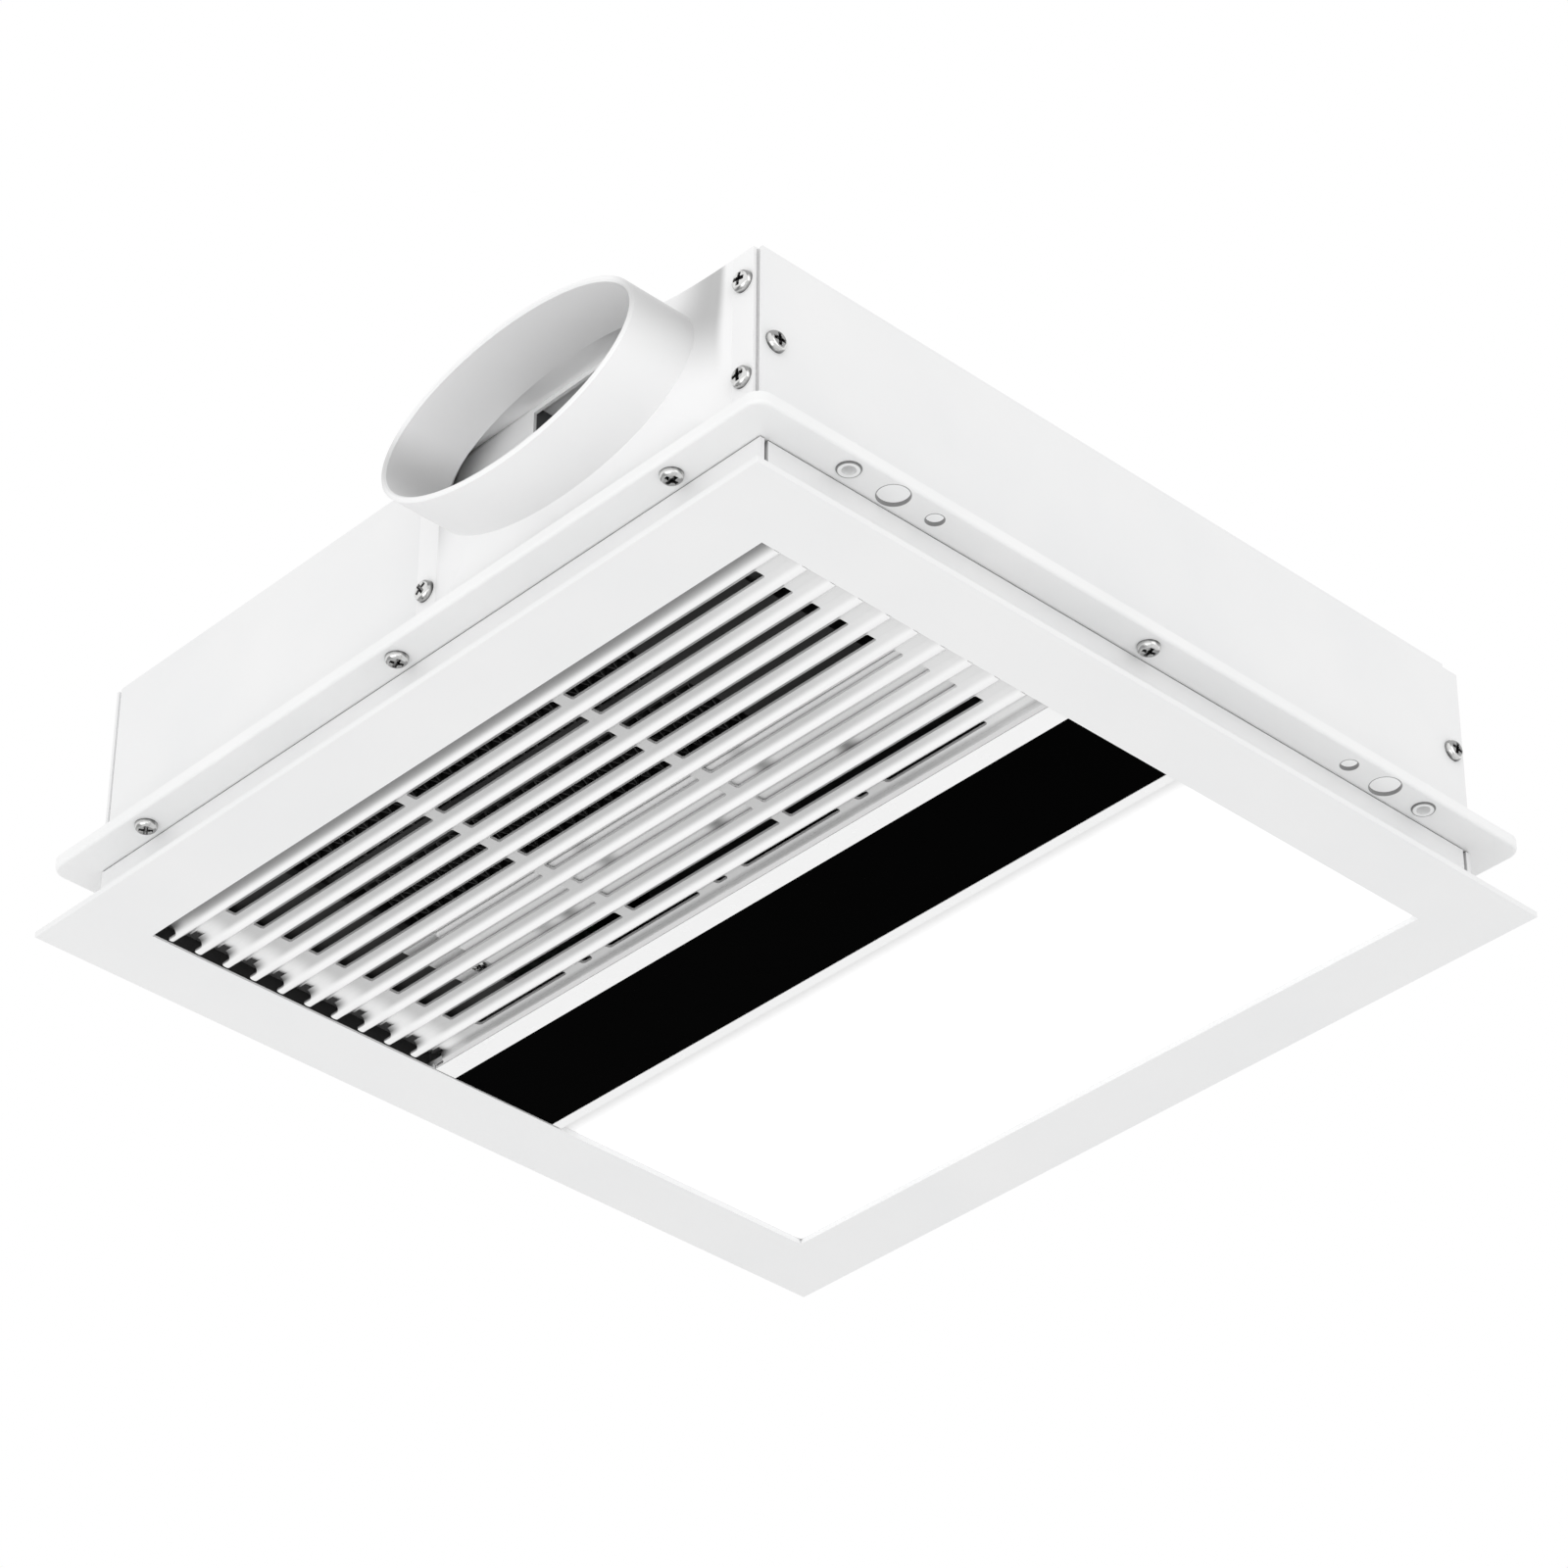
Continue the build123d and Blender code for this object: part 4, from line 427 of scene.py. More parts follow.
@dataclass(frozen=True)
class BlotchedStrip(Finish):
    """White coated strip with soft grey blotches.

    Each blotch has its x and y in millimetres and the share of its grey that shows.
    """

    blotch: str = "#6A6A6A"
    blotch_r: float = 5.5
    blotches: tuple[tuple[float, float, float], ...] = ()

    def shade(self, tree: bpy.types.NodeTree, spot: bpy.types.NodeSocket,
              colour: bpy.types.NodeSocket) -> bpy.types.NodeSocket:
        """Darken the strip round each given place.

        Args:
            tree: The material's node tree.
            spot: Object coordinates in metres.
            colour: The clean colour.

        Returns:
            The colour for the shader.
        """
        flat = add_node(tree, "ShaderNodeVectorMath", {"operation": "MULTIPLY", 1: IN_PLAN}, {0: spot})
        for x, y, share in self.blotches:
            away = add_node(tree, "ShaderNodeVectorMath", {"operation": "DISTANCE", 1: (x * MM, y * MM, 0.0)},
                            {0: flat.outputs["Vector"]})
            colour = blend_along(tree, away.outputs["Value"], (self.blotch_r, 0.0), colour, self.blotch, share)
        return super().shade(tree, spot, colour)


@dataclass(frozen=True)
class RimShadedFlange(Finish):
    """Coated flange with shade painted in a thin ring round each punched hole's rim.

    Each rim has its x, y and radius in millimetres. Its ring starts rim_w from there and is full at rim_core.
    """

    # Painted shade in a ring round each hole
    rim: str = "#6E6E6E"
    rim_w: float = 0.4
    rim_core: float = 0.1
    rim_share: float = 0.9
    shaded_rims: tuple[tuple[float, float, float], ...] = ((HOLE_LINE, 80.5, 2.5), (HOLE_LINE, 95.5, 4.5),
                                                   (HOLE_LINE, 111.5, 3.25))

    def shade(self, tree: bpy.types.NodeTree, spot: bpy.types.NodeSocket,
              colour: bpy.types.NodeSocket) -> bpy.types.NodeSocket:
        """Paint shade in a thin ring at each rim, the same in all four corners.

        Args:
            tree: The material's node tree.
            spot: Object coordinates in metres.
            colour: The clean colour.

        Returns:
            The colour for the shader.
        """
        corner = add_node(tree, "ShaderNodeVectorMath", {"operation": "ABSOLUTE"}, {0: spot})
        flat = add_node(tree, "ShaderNodeVectorMath", {"operation": "MULTIPLY", 1: IN_PLAN},
                        {0: corner.outputs["Vector"]})
        for x, y, radius in self.shaded_rims:
            away = add_node(tree, "ShaderNodeVectorMath", {"operation": "DISTANCE", 1: (x * MM, y * MM, 0.0)},
                            {0: flat.outputs["Vector"]})
            off = add_node(tree, "ShaderNodeMath", {"operation": "SUBTRACT", 1: radius * MM},
                           {0: away.outputs["Value"]})
            gap = add_node(tree, "ShaderNodeMath", {"operation": "ABSOLUTE"}, {0: off.outputs[0]})
            colour = blend_along(tree, gap.outputs[0], (self.rim_w, self.rim_core), colour, self.rim,
                                 self.rim_share)
        return super().shade(tree, spot, colour)


@dataclass(frozen=True)
class ReflectionPaintedPlate(Finish):
    """Bright plate with dark reflections painted in patches on its domes and flanks, between the mirror ones.

    The patches follow the way that the plate faces. Their size in millimetres is the one that they have on a
    ball of ball_r, about as large as a screw head.
    """

    # Painted dark reflection on the screw heads
    dark_reflection: str = "#4A4A4B"
    dark_reflection_span: tuple[float, float] = (0.5, 0.62)
    dark_reflection_share: float = 0.6
    patch_mm: float = 2.0
    ball_r: float = 3.4

    def shade(self, tree: bpy.types.NodeTree, spot: bpy.types.NodeSocket,
              colour: bpy.types.NodeSocket) -> bpy.types.NodeSocket:
        """Paint dark reflections on to the plate by the way that it faces.

        Args:
            tree: The material's node tree.
            spot: Object coordinates in metres.
            colour: The bright colour.

        Returns:
            The colour for the shader.
        """
        facing = add_node(tree, "ShaderNodeTexCoord").outputs["Normal"]
        patches = add_node(tree, "ShaderNodeTexNoise", {"Scale": self.ball_r / self.patch_mm, "Detail": 0.0},
                           {"Vector": facing})
        bright, dark_reflection = self.dark_reflection_span
        share = add_node(tree, "ShaderNodeMapRange",
                         {"From Min": bright, "From Max": dark_reflection, "To Max": self.dark_reflection_share},
                         {"Value": patches.outputs["Fac"]})
        mixed = add_node(tree, "ShaderNodeMix", {"data_type": "RGBA", 7: linear(self.dark_reflection)},
                         {0: share.outputs["Result"], 6: colour})
        return super().shade(tree, spot, mixed.outputs[2])


# Places of the grey blotches on the strip behind the slots: x and y in millimetres, and share
BLOTCH_PLACES = ((51.2, -56.0, 0.75), (-12.3, -56.0, 0.65), (51.0, -65.2, 0.35), (-12.2, -65.2, 0.35),
               (73.5, -45.5, 0.85), (22.0, -46.2, 0.85), (-39.6, -46.6, 0.8), (-50.0, -46.8, 0.5))

# Powder coat on steel sheet: an even white with faint orange peel and soft broad highlights, with shade
# painted into its open seams and shut-in corners everywhere but at the far left end
POWDER_COATED_STEEL = Finish("powder_coated_steel", "#F1F1F1", 0.42, grain=Grain.ORANGE_PEEL, grain_mm=1.4,
                             relief_mm=0.006, tint="#E9EAEB", tint_share=0.5, crevice_shade="#303030",
                             unshaded_x_mm=-120.0)
# The same coat on the flange: a touch whiter, with shade painted in a thin ring at each punched hole and in
# its gaps
COATED_FLANGE_STEEL = RimShadedFlange("coated_flange_steel", "#F6F6F6", 0.42, grain=Grain.ORANGE_PEEL,
                                    grain_mm=1.4, relief_mm=0.006, tint="#EEEFEF", tint_share=0.5,
                                    crevice_shade="#303030")
# Injection moulded ABS, fine spark grain: satin white, with shade painted into its narrow gaps
MOULDED_WHITE_ABS = Finish("moulded_white_abs", "#F1F1F1", 0.38, ior=1.54, grain=Grain.SPARK, grain_mm=0.5,
                           relief_mm=0.003, tint="#EAEBEC", tint_share=0.4, crevice_shade="#303030")
# Polished ABS of the display strip: brighter white, sharper sheen
POLISHED_WHITE_ABS = Finish("polished_white_abs", "#F9F9F9", 0.25, ior=1.54, grain=Grain.PLAIN, grain_mm=6.0,
                            relief_mm=0.0006, tint="#F3F3F3", tint_share=0.4)
# Injection moulded polypropylene of the collar: softer sheen, with grey shade painted into the hollows beside
# it
MOULDED_POLYPROPYLENE = ShadePaintedHopper("moulded_polypropylene", "#F7F7F7", 0.45, ior=1.49, grain=Grain.SPARK,
                                    grain_mm=0.7, relief_mm=0.004, tint="#F0F0F1", tint_share=0.4)
# Wet lacquer on the pressed grille: brighter white and a sharper sheen along the crests, with shade painted
# into the valleys and light painted towards their ends
LACQUERED_STEEL = ShadePaintedPressing("lacquered_steel", "#FCFCFC", 0.22, coat=0.6, coat_roughness=0.1,
                                  grain=Grain.ORANGE_PEEL, grain_mm=5.0, relief_mm=0.0006, tint="#F8F8F8",
                                  tint_share=0.5)
# The strip behind the slots: white coat with soft grey blotches
BLOTCHED_STRIP = BlotchedStrip("blotched_strip", "#DFDFDF", 0.4, grain=Grain.ORANGE_PEEL, grain_mm=1.4,
                                relief_mm=0.006, tint="#D6D6D6", tint_share=0.5, blotches=BLOTCH_PLACES)
# Bright nickel plate on the screws: mirror highlights broken by painted dark reflections, with shade painted
# into the cross recess and round the heads
NICKEL_PLATE = ReflectionPaintedPlate("nickel_plate", "#E6E6E5", 0.1, metallic=1.0, grain=Grain.PLAIN, grain_mm=0.4,
                           relief_mm=0.002, tint="#CFCFCE", tint_share=0.4, crevice_shade="#343434", crevice_shade_mm=2.2,
                           crevice_shade_span=(0.4, 0.95))
# Zinc plate on hidden brackets: blue grey with small crystal spangle
ZINC_PLATE = Finish("zinc_plate", "#BFC3C6", 0.34, metallic=1.0, grain=Grain.SPANGLE, grain_mm=5.0,
                    relief_mm=0.003, tint="#A5AAAE", tint_share=0.6)
# Black coat on the fins and bars of the heater: matt, with faint dust
BLACK_COATED_FIN = Finish("black_coated_fin", "#3A3A3A", 0.55, metallic=0.2, grain=Grain.BRUSHED,
                          grain_mm=0.4, relief_mm=0.003, tint="#565656", tint_share=0.5)
# Black glass filled nylon: matt and slightly mottled
MOULDED_BLACK_NYLON = Finish("moulded_black_nylon", "#232323", 0.5, grain=Grain.SPARK, grain_mm=0.6,
                             relief_mm=0.006, tint="#3A3A3A", tint_share=0.4)
# Dark grey moulded ABS of the scroll, wheel and duct, seen through the collar: dull and even; on the duct
# the dark grey also stands in as painted shade deep inside the collar
DARK_ABS_AND_SHADE = Finish("dark_abs_and_shade", "#4C4D4F", 0.45, ior=1.54, grain=Grain.SPARK, grain_mm=0.6,
                          relief_mm=0.004, tint="#5A5B5D", tint_share=0.4)
# Light grey moulded ABS of the damper, gland and electric parts: satin, even
MOULDED_GREY_ABS = Finish("moulded_grey_abs", "#C6C8CA", 0.45, ior=1.54, grain=Grain.SPARK, grain_mm=0.6,
                          relief_mm=0.004, tint="#B4B7BA", tint_share=0.4)
# Acrylic of the display, printed black behind: deep black that gives back almost no light
BLACK_BACKED_ACRYLIC = Finish("black_backed_acrylic", "#000000", 0.3, ior=1.49, grain=Grain.PLAIN,
                              grain_mm=8.0, relief_mm=0.0004, tint="#010101", tint_share=0.5, specular=0.004)
# Opal acrylic lit from behind: an even white that reads brighter than its surround
LIT_OPAL_ACRYLIC = LitPanel("lit_opal_acrylic", "#E8E8E8", 0.35, ior=1.49, grain=Grain.PLAIN, grain_mm=4.0,
                            relief_mm=0.001, tint="#E4E4E4", tint_share=0.3)
# Closed cell foam strip: dark grey, dull, with fine open pores at the cut faces
CUT_FOAM = Finish("cut_foam", "#3C3C3C", 0.9, ior=1.4, grain=Grain.SPARK, grain_mm=0.7, relief_mm=0.08,
                  tint="#4A4A4A", tint_share=0.5, specular=0.2)
# Mica filled end cover: charcoal, dull
MOULDED_CHARCOAL_NYLON = Finish("moulded_charcoal_nylon", "#4A4A4A", 0.6, grain=Grain.SPARK, grain_mm=0.6,
                                relief_mm=0.006, tint="#585858", tint_share=0.4)
# Green solder mask over the glass weave of a board: half gloss, lightly mottled
GREEN_SOLDER_MASK = Finish("green_solder_mask", "#1E5A34", 0.3, grain=Grain.SPARK, grain_mm=1.1,
                           relief_mm=0.003, tint="#2D7A48", tint_share=0.5)
# White solder mask of the lamp's strips: warm white with the same mottle
WHITE_SOLDER_MASK = Finish("white_solder_mask", "#EFEFEA", 0.3, grain=Grain.SPARK, grain_mm=1.1,
                           relief_mm=0.003, tint="#E2E2DA", tint_share=0.5)
# Sintered bronze bushes: dull, oily brown
SINTERED_BRONZE = Finish("sintered_bronze", "#A5824E", 0.45, metallic=1.0, grain=Grain.SPARK, grain_mm=0.3,
                         relief_mm=0.01, tint="#7D6238", tint_share=0.5)
# Stacked iron laminations: dark, lined across
STACKED_IRON = Finish("stacked_iron", "#5A5B5E", 0.5, metallic=1.0, grain=Grain.BRUSHED, grain_mm=0.5,
                      relief_mm=0.02, tint="#3E3F42", tint_share=0.5)
# Ground steel of the shafts: bright grey with fine marks
GROUND_STEEL = Finish("ground_steel", "#B9BBBD", 0.22, metallic=1.0, grain=Grain.BRUSHED, grain_mm=0.3,
                      relief_mm=0.002, tint="#9FA1A4", tint_share=0.4)
# Rolled spring strip of the clips: greyer and softer than the shafts
SPRING_STRIP = Finish("spring_strip", "#B4B6B6", 0.3, metallic=1.0, grain=Grain.BRUSHED, grain_mm=0.4,
                      relief_mm=0.003, tint="#8E9292", tint_share=0.4)
# Matt paper of the studio floor
STUDIO_PAPER = Finish("pale_studio_paper", "#F4F4F4", 0.8, grain=Grain.SPARK, grain_mm=3.0, relief_mm=0.01,
                      tint="#EFEFEF", tint_share=0.4)


class FinishShelf:
    """Builds each finish once and hands it out."""

    def __init__(self) -> None:
        """Start with nothing built."""
        self.built: dict[str, bpy.types.Material] = {}

    def take(self, finish: Finish) -> bpy.types.Material:
        """Hand out the material of a finish, built on first use.

        Args:
            finish: The finish.

        Returns:
            Its material.
        """
        if finish.name not in self.built:
            self.built[finish.name] = finish.build()
        return self.built[finish.name]


SHELF = FinishShelf()


def dress(node: str, finish: Finish) -> None:
    """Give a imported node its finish.

    Args:
        node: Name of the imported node.
        finish: Its finish.
    """
    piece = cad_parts[node]
    material = SHELF.take(finish)
    if not piece.material_slots:
        piece.data.materials.append(material)
    for slot in piece.material_slots:
        slot.material = material
    log.info("dressed %s in %s", node, finish.name)


def skin(shape: bmesh.types.BMesh, loops: list[list[bmesh.types.BMVert]]) -> None:
    """Join rings of points with faces and close both ends.

    Args:
        shape: Mesh that holds the points.
        loops: Rings with the same number of points, in order.
    """
    count = len(loops[0])
    for first, second in zip(loops, loops[1:]):
        for side in range(count):
            after = (side + 1) % count
            shape.faces.new((first[side], first[after], second[after], second[side]))
    shape.faces.new(loops[-1])
    shape.faces.new(loops[0][::-1])


def make_piece(name: str, shape: bmesh.types.BMesh, finish: Finish, sharp_deg: float) -> bpy.types.Object:
    """Turn a shape into a piece of the object and give it its finish.

    Args:
        name: The piece's name.
        shape: Its mesh, which is used up.
        finish: Its finish.
        sharp_deg: The angle from which an edge stays sharp.

    Returns:
        The new piece.
    """
    bmesh.ops.recalc_face_normals(shape, faces=shape.faces)
    mesh = bpy.data.meshes.new(name)
    shape.to_mesh(mesh)
    shape.free()
    mesh.shade_smooth()
    mesh.set_sharp_from_angle(angle=math.radians(sharp_deg))
    mesh.materials.append(SHELF.take(finish))
    piece = bpy.data.objects.new(name, mesh)
    bpy.context.scene.collection.objects.link(piece)
    log.info("built %s", name)
    return piece


# Sub-assemblies


@dataclass
class DressedAssembly:
    """Sub-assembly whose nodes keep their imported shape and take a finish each."""

    finishes: dict[str, Finish]

    def build(self) -> None:
        """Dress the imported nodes."""
        for node, finish in self.finishes.items():
            dress(node, finish)


@dataclass
class HousingShell(DressedAssembly):
    """Sheet metal box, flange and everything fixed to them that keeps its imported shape."""

    finishes: dict[str, Finish] = field(default_factory=lambda: {
        "housing_body": POWDER_COATED_STEEL,
        "back_panel": POWDER_COATED_STEEL,
        "side_panel_left": POWDER_COATED_STEEL,
        "side_panel_right": POWDER_COATED_STEEL,
        "mounting_flange": COATED_FLANGE_STEEL,
        "rivet_nuts": COATED_FLANGE_STEEL,
        "outlet_adapter": MOULDED_POLYPROPYLENE,
        "cross_member": POWDER_COATED_STEEL,
    })


@dataclass
class CrossHeadScrews:
    """Pan head screws with a cross recess and a rolled thread, in place of one packed set.

    Sizes are in millimetres. Each seat is a point under the head and the way that the head faces. Sizes of
    the recess, rim and dome are shares of the head's radius and height. The thread's root and crest are
    shares of its pitch, and the tip's are shares of the shank's radius. Each screw stops at its own turn,
    in radians.
    """

    node: str
    seats: list[tuple[tuple[float, float, float], tuple[float, float, float]]]
    body: str = "housing"
    head_r: float = 3.3
    head_h: float = 2.1
    shank_r: float = 1.9
    length: float = 7.0
    sides: int = 56
    sharp_deg: float = 38.0
    recess_w: float = 0.15
    recess_l: float = 0.58
    recess_d: float = 0.62
    recess_soft: float = 0.05
    recess_rise: float = 0.45
    rim: tuple[tuple[float, float], ...] = ((1.0, 0.0), (1.0, 0.2), (0.985, 0.4), (0.94, 0.6), (0.86, 0.78),
                                            (0.76, 0.89))
    dome_rings: int = 14
    dome_r: float = 0.66
    dome_step: float = 0.046
    dome_low: float = 0.95
    dome_curve: float = 0.7
    thread_pitch: float = 0.8
    thread_depth: float = 0.28
    thread_start: float = 0.4
    root_share: float = 0.25
    crest_share: float = 0.6
    plain_length: float = 1.0
    tip_length: float = 0.3
    tip_shares: tuple[float, float] = (0.8, 0.55)
    first_turn: float = 0.6
    next_turn: float = 1.3

    def recess(self, along: float, across: float) -> float:
        """Depth of the cross recess at a point of the head.

        Args:
            along: First coordinate as a share of the head's radius.
            across: Second coordinate as a share of the head's radius.

        Returns:
            Depth as a share of the head's height.
        """
        far = max(abs(along), abs(across))
        near = min(abs(along), abs(across))
        arm = min(max((self.recess_w - near) / self.recess_soft + 0.5, 0.0), 1.0)
        end = min(max((self.recess_l - far) / self.recess_soft + 0.5, 0.0), 1.0)
        return self.recess_d * (1.0 - self.recess_rise * far / self.recess_l) * arm * end

    def head_profile(self) -> list[tuple[float, float]]:
        """Outline of the head, from its rim over the dome to the middle.

        Returns:
            Shares of the head's radius and height.
        """
        last = self.dome_rings - 1
        return [*self.rim, *[(self.dome_r - self.dome_step * ring,
                              self.dome_low + (1.0 - self.dome_low) * (ring / last) ** self.dome_curve)
                             for ring in range(self.dome_rings)]]

    def shank_profile(self) -> list[tuple[float, float]]:
        """Outline of the thread's crests and roots, from the seat down to the tip.

        Returns:
            Radius and height of each ring, in millimetres.
        """
        turns = int((self.length - self.plain_length) / self.thread_pitch)
        points = [(self.shank_r, 0.0)]
        for turn in range(turns):
            start = -self.thread_start - turn * self.thread_pitch
            points += [(self.shank_r - self.thread_depth, start - self.root_share * self.thread_pitch),
                       (self.shank_r, start - self.crest_share * self.thread_pitch)]
        neck, tip = self.tip_shares
        points += [(self.shank_r * neck, self.tip_length - self.length), (self.shank_r * tip, -self.length)]
        return points

    def lathe(self, shape: bmesh.types.BMesh, rings: list[tuple[float, float]], carve: bool,
              place: Matrix) -> None:
        """Turn a profile into a closed surface.

        Args:
            shape: Mesh that takes the surface.
            rings: Radius and height of each ring.
            carve: Whether the cross recess lowers the points.
            place: Where the screw stands.
        """
        loops = []
        for radius, height in rings:
            loop = []
            for side in range(self.sides):
                turn = 2 * math.pi * side / self.sides
                x, y = radius * math.cos(turn), radius * math.sin(turn)
                low = self.recess(x / self.head_r, y / self.head_r) * self.head_h if carve else 0.0
                loop.append(shape.verts.new(place @ Vector((x * MM, y * MM, (height - low) * MM))))
            loops.append(loop)
        skin(shape, loops)

    def build(self) -> None:
        """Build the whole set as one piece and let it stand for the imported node."""
        shape = bmesh.new()
        for number, (seat, facing) in enumerate(self.seats):
            turned = Vector(facing).to_track_quat("Z", "Y").to_matrix().to_4x4()
            turn = self.first_turn + self.next_turn * number
            place = Matrix.Translation(Vector(seat) * MM) @ turned @ Matrix.Rotation(turn, 4, "Z")
            head = [(share * self.head_r, rise * self.head_h) for share, rise in self.head_profile()]
            self.lathe(shape, head, True, place)
            self.lathe(shape, self.shank_profile(), False, place)
        piece = make_piece(f"pan_head_{self.node}", shape, NICKEL_PLATE, self.sharp_deg)
        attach(piece, self.body)
        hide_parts(self.node)


@dataclass
class Fasteners:
    """Every screw that shows from outside or through the slots, at the places that the housing gives."""

    wall: float = 138.0
    spread: float = 110.0
    side_inset: float = 5.0
    side_z: float = 32.8
    adapter_spread: float = 63.2
    adapter_t: float = 1.2
    adapter_z: tuple[float, float] = (20.8, 52.9)
    member_x: float = -79.6
    member_y: tuple[float, float] = (-60.0, -45.0)

    def build(self) -> None:
        """Build the four sets."""
        ends = (-1, 1)
        flange = [((x, end * HOLE_LINE, 0.0), (0, 0, -1)) for end in ends
                  for x in (-self.spread, 0, self.spread)]
        flange += [((end * HOLE_LINE, 0.0, 0.0), (0, 0, -1)) for end in ends]
        CrossHeadScrews("flange_screws", flange).build()
        CrossHeadScrews("side_screws", [((side * self.wall, end * (self.wall - self.side_inset), self.side_z),
                                         (side, 0, 0)) for side in ends for end in ends]).build()
        CrossHeadScrews("adapter_screws", [((COLLAR_X + side * self.adapter_spread,
                                             -self.wall - self.adapter_t, z), (0, -1, 0))
                                           for side in ends for z in self.adapter_z]).build()
        CrossHeadScrews("member_screws", [((self.member_x, y, MEMBER_Z), (0, 0, -1)) for y in self.member_y],
                        head_r=2.4, head_h=0.9, shank_r=1.4, length=3.6).build()


@dataclass
class BackingStrip:
    """Coated strip welded under the cross member, which closes the space behind three rows of slots.

    Sizes are in millimetres.
    """

    low_x: float = -75.0
    high_x: float = 122.0
    low_y: float = -66.1
    high_y: float = -41.0
    face_z: float = -19.1
    corner_r: float = 2.0
    edge: float = 0.35
    edge_bulge: float = 0.3
    folds: int = 6
    sharp_deg: float = 50.0

    def outline(self, inset: float) -> list[tuple[float, float]]:
        """Corner points of the strip in plan, rounded.

        Args:
            inset: How far the outline is drawn in.

        Returns:
            Points in order, in millimetres.
        """
        points = []
        radius = self.corner_r - inset
        corners = ((self.high_x, self.high_y, 0), (self.low_x, self.high_y, 1), (self.low_x, self.low_y, 2),
                   (self.high_x, self.low_y, 3))
        for x, y, quarter in corners:
            middle_x = x - self.corner_r if quarter in (0, 3) else x + self.corner_r
            middle_y = y - self.corner_r if quarter in (0, 1) else y + self.corner_r
            for fold in range(self.folds + 1):
                turn = math.pi / 2 * (quarter + fold / self.folds)
                points.append((middle_x + radius * math.cos(turn), middle_y + radius * math.sin(turn)))
        return points

    def build(self) -> None:
        """Build the strip with a soft lower edge."""
        shape = bmesh.new()
        bulge = self.edge_bulge * self.edge
        rings = [(0.0, MEMBER_Z), (0.0, self.face_z + self.edge), (bulge, self.face_z + bulge),
                 (self.edge, self.face_z)]
        loops = [[shape.verts.new((x * MM, y * MM, z * MM)) for x, y in self.outline(inset)]
                 for inset, z in rings]
        skin(shape, loops)
        piece = make_piece("backing_strip", shape, BLOTCHED_STRIP, self.sharp_deg)
        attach(piece, "housing")


@dataclass
class Blower(DressedAssembly):
    """Scroll, wheel and motor."""

    finishes: dict[str, Finish] = field(default_factory=lambda: {
        "fan_scroll": DARK_ABS_AND_SHADE,
        "impeller": DARK_ABS_AND_SHADE,
        "wheel_plate": DARK_ABS_AND_SHADE,
        "motor_housing": ZINC_PLATE,
        "motor_screws": ZINC_PLATE,
        "motor_stator": STACKED_IRON,
        "motor_rotor": STACKED_IRON,
        "motor_bearings": SINTERED_BRONZE,
        "motor_shaft": GROUND_STEEL,
        "impeller_nut": ZINC_PLATE,
    })


@dataclass
class AirPath(DressedAssembly):
    """Duct, changeover damper with its drive, and the heater under its hood."""

    finishes: dict[str, Finish] = field(default_factory=lambda: {
        "air_duct": DARK_ABS_AND_SHADE,
        "changeover_damper": MOULDED_GREY_ABS,
        "damper_shaft": GROUND_STEEL,
        "damper_motor": MOULDED_BLACK_NYLON,
        "damper_motor_screws": ZINC_PLATE,
        "heater_hood": ZINC_PLATE,
        "heater_frame": MOULDED_BLACK_NYLON,
        "heater_bars": BLACK_COATED_FIN,
        "end_cover": MOULDED_CHARCOAL_NYLON,
        "heater_fins": BLACK_COATED_FIN,
        "heater_terminals": ZINC_PLATE,
        "thermal_cutout": MOULDED_BLACK_NYLON,
    })


@dataclass
class Electrics(DressedAssembly):
    """Control board, terminals, capacitor and cable gland."""

    finishes: dict[str, Finish] = field(default_factory=lambda: {
        "control_board": GREEN_SOLDER_MASK,
        "board_standoffs": ZINC_PLATE,
        "relays": MOULDED_BLACK_NYLON,
        "terminal_block": MOULDED_GREY_ABS,
        "terminal_screws": ZINC_PLATE,
        "run_capacitor": MOULDED_GREY_ABS,
        "capacitor_strap": ZINC_PLATE,
        "cable_gland": MOULDED_GREY_ABS,
        "gland_nut": MOULDED_GREY_ABS,
    })


@dataclass
class FacePanel(DressedAssembly):
    """Face frame with grille, display strip, lamp and spring clips."""

    finishes: dict[str, Finish] = field(default_factory=lambda: {
        "face_frame": MOULDED_WHITE_ABS,
        "outlet_grille": LACQUERED_STEEL,
        "display_bezel": POLISHED_WHITE_ABS,
        "display_lens": BLACK_BACKED_ACRYLIC,
        "display_digits": BLACK_BACKED_ACRYLIC,
        "display_board": GREEN_SOLDER_MASK,
        "light_diffuser": LIT_OPAL_ACRYLIC,
        "light_tray": POWDER_COATED_STEEL,
        "led_strips": WHITE_SOLDER_MASK,
        "led_driver": MOULDED_GREY_ABS,
        "face_clips": SPRING_STRIP,
        "edge_seal": CUT_FOAM,
    })


@dataclass(frozen=True)
class SoftLamp:
    """Square lamp, with its place and edge length in metres and its power in watts."""

    name: str
    place: tuple[float, float, float]
    watts: float
    side: float = 1.2

    def build(self, aim: tuple[float, float, float]) -> None:
        """Set up the lamp.

        Args:
            aim: The point that it faces.
        """
        data = bpy.data.lights.new(self.name, "AREA")
        data.shape = "SQUARE"
        data.size = self.side
        data.energy = self.watts
        light = bpy.data.objects.new(self.name, data)
        bpy.context.scene.collection.objects.link(light)
        light.location = self.place
        light.rotation_mode = "QUATERNION"
        light.rotation_quaternion = (Vector(aim) - Vector(self.place)).to_track_quat("-Z", "Y")


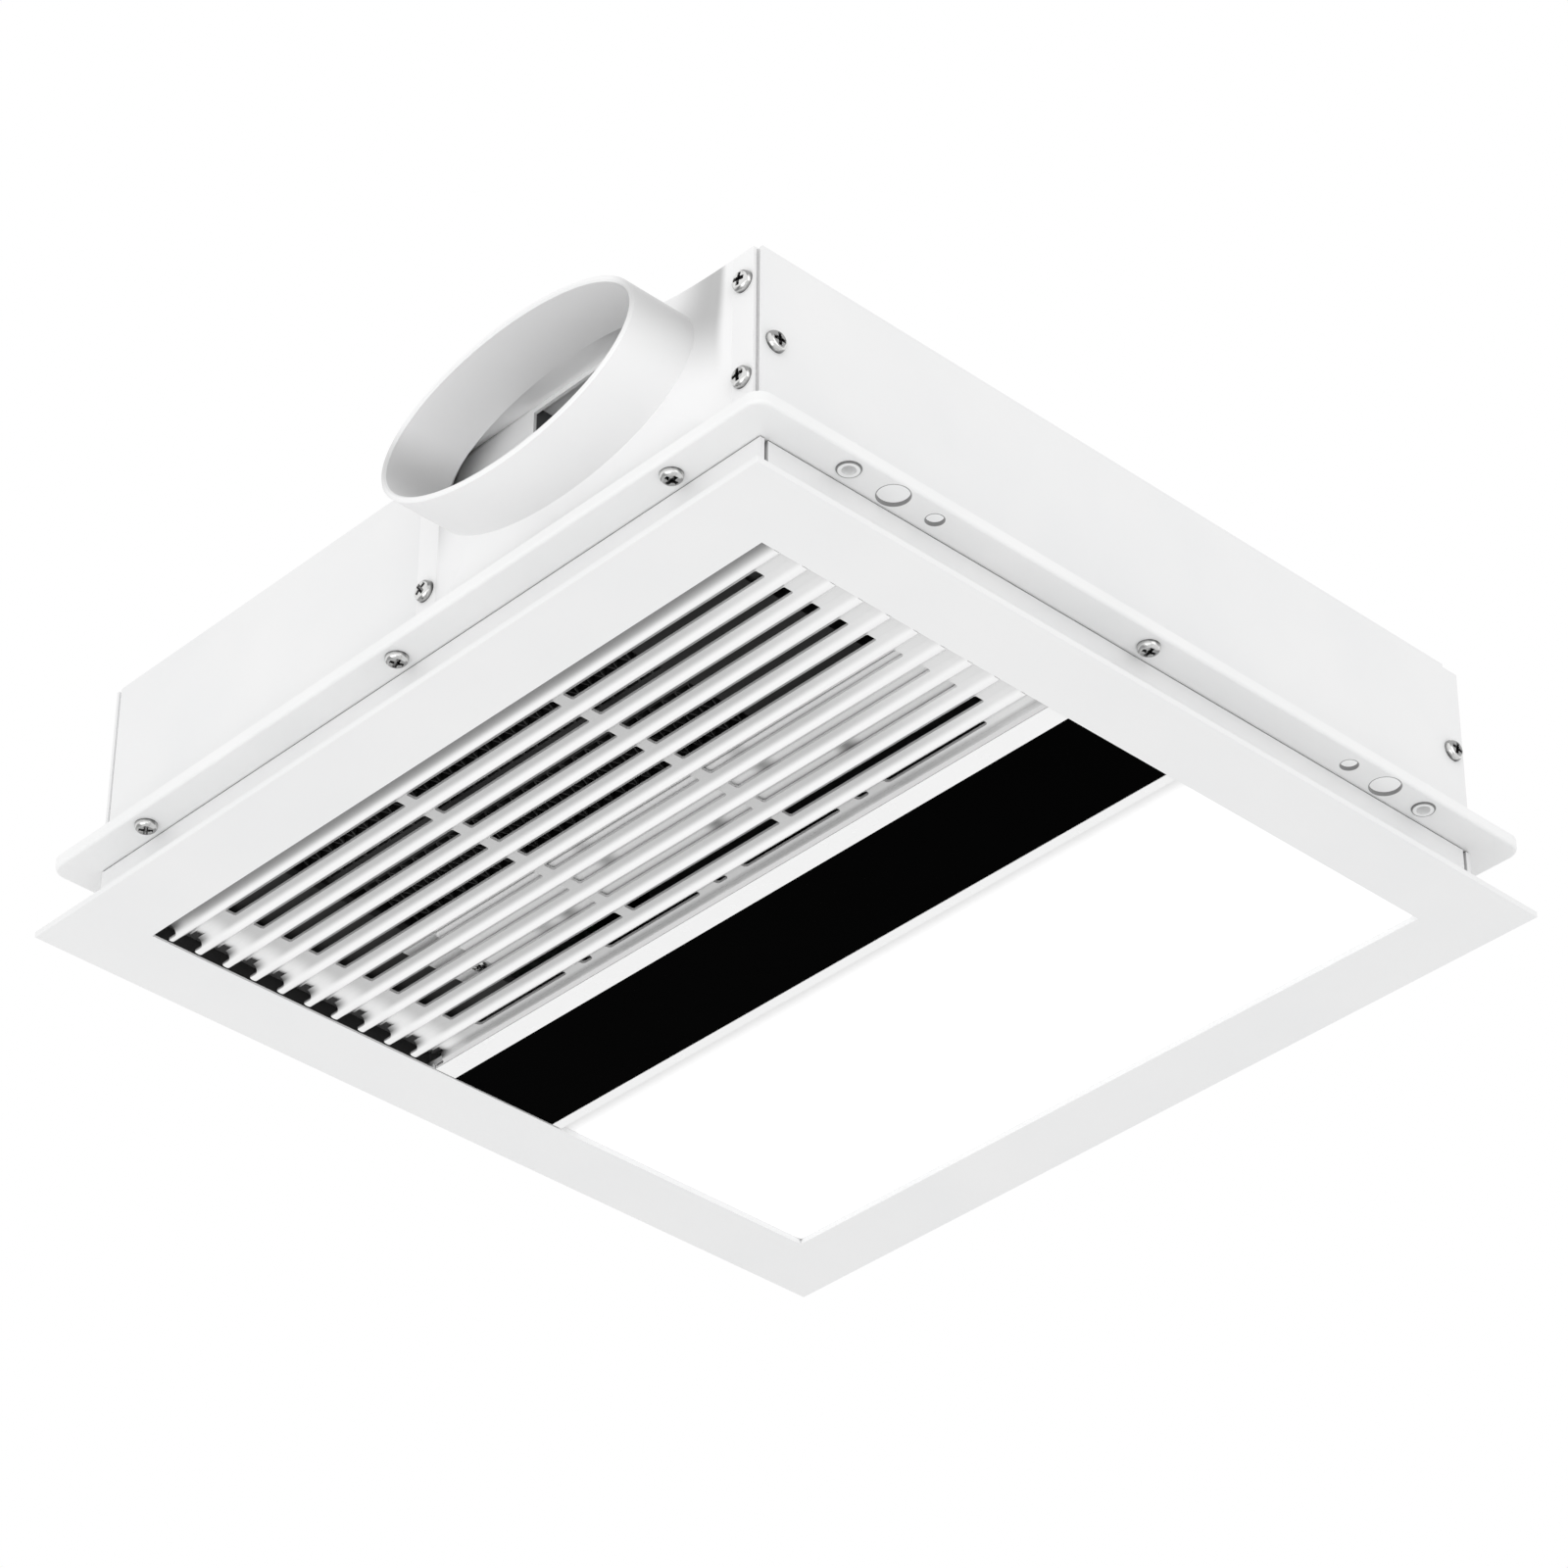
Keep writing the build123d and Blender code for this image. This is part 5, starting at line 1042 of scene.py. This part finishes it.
@dataclass
class Studio:
    """Pale floor, white surround, soft lamps and the camera, in metres.

    The camera's place and aim were fitted to the photograph. It looks up at the face.
    """

    eye: tuple[float, float, float] = (0.92035, -0.86139, -0.85013)
    forward: tuple[float, float, float] = (-0.59926, 0.56091, 0.57120)
    down: tuple[float, float, float] = (-0.41380, 0.39377, -0.82080)
    lens_mm: float = 122.73
    sensor_mm: float = 36.0
    clip: tuple[float, float] = (0.05, 60.0)
    floor_z: float = -1.75
    floor_side: float = 16.0
    sky: float = 0.91
    middle: tuple[float, float, float] = (0.0, 0.0, 0.02)
    lamps: tuple[SoftLamp, ...] = (
        SoftLamp("lamp_near", (1.0, -0.95, -0.85), 1.9),
        SoftLamp("lamp_left", (0.1, -1.3, -0.95), 3.8),
        SoftLamp("lamp_right", (1.8, 0.0, 0.1), 2.2),
    )

    def camera(self) -> None:
        """Place the camera."""
        data = bpy.data.cameras.new("camera")
        data.sensor_width = self.sensor_mm
        data.lens = self.lens_mm
        data.clip_start, data.clip_end = self.clip
        camera = bpy.data.objects.new("camera", data)
        bpy.context.scene.collection.objects.link(camera)
        back = -Vector(self.forward).normalized()
        up = -Vector(self.down).normalized()
        right = up.cross(back).normalized()
        up = back.cross(right)
        turn = Matrix((right, up, back)).transposed()
        camera.matrix_world = Matrix.Translation(Vector(self.eye)) @ turn.to_4x4()
        bpy.context.scene.camera = camera

    def surround(self) -> None:
        """Make the world: soft light, and plain white to the camera and in reflections."""
        world = bpy.data.worlds.new("surround")
        world.use_nodes = True
        bpy.context.scene.world = world
        tree = world.node_tree
        tree.nodes.clear()
        ray = add_node(tree, "ShaderNodeLightPath")
        direct = add_node(tree, "ShaderNodeMath", {"operation": "MAXIMUM"},
                          {0: ray.outputs["Is Camera Ray"], 1: ray.outputs["Is Transmission Ray"]})
        seen = add_node(tree, "ShaderNodeMath", {"operation": "MAXIMUM"},
                        {0: direct.outputs[0], 1: ray.outputs["Is Glossy Ray"]})
        light = add_node(tree, "ShaderNodeBackground", {"Color": linear("#FFFFFF"), "Strength": self.sky})
        plain = add_node(tree, "ShaderNodeBackground", {"Color": linear("#FFFFFF"), "Strength": 1.0})
        mix = add_node(tree, "ShaderNodeMixShader", links={0: seen.outputs[0], 1: light.outputs[0],
                                                           2: plain.outputs[0]})
        add_node(tree, "ShaderNodeOutputWorld", links={"Surface": mix.outputs[0]})

    def floor(self) -> None:
        """Lay the pale floor under the camera."""
        mesh = bpy.data.meshes.new("studio_floor")
        half = self.floor_side / 2
        corners = ((-half, -half), (half, -half), (half, half), (-half, half))
        mesh.from_pydata([(x, y, self.floor_z) for x, y in corners], [], [(0, 1, 2, 3)])
        floor = bpy.data.objects.new("studio_floor", mesh)
        bpy.context.scene.collection.objects.link(floor)
        mesh.materials.append(SHELF.take(STUDIO_PAPER))

    def build(self) -> None:
        """Set up the whole studio."""
        bpy.context.scene.view_settings.view_transform = "Standard"
        self.camera()
        self.surround()
        self.floor()
        for lamp in self.lamps:
            lamp.build(self.middle)
        log.info("studio ready")


def main() -> None:
    """Build the sub-assemblies in order."""
    logging.basicConfig(level=logging.INFO, format="%(name)s: %(message)s")
    Studio().build()
    for part in (HousingShell(), BackingStrip(), Fasteners(), Blower(), AirPath(), Electrics(), FacePanel()):
        part.build()


if __name__ == "__main__":
    main()
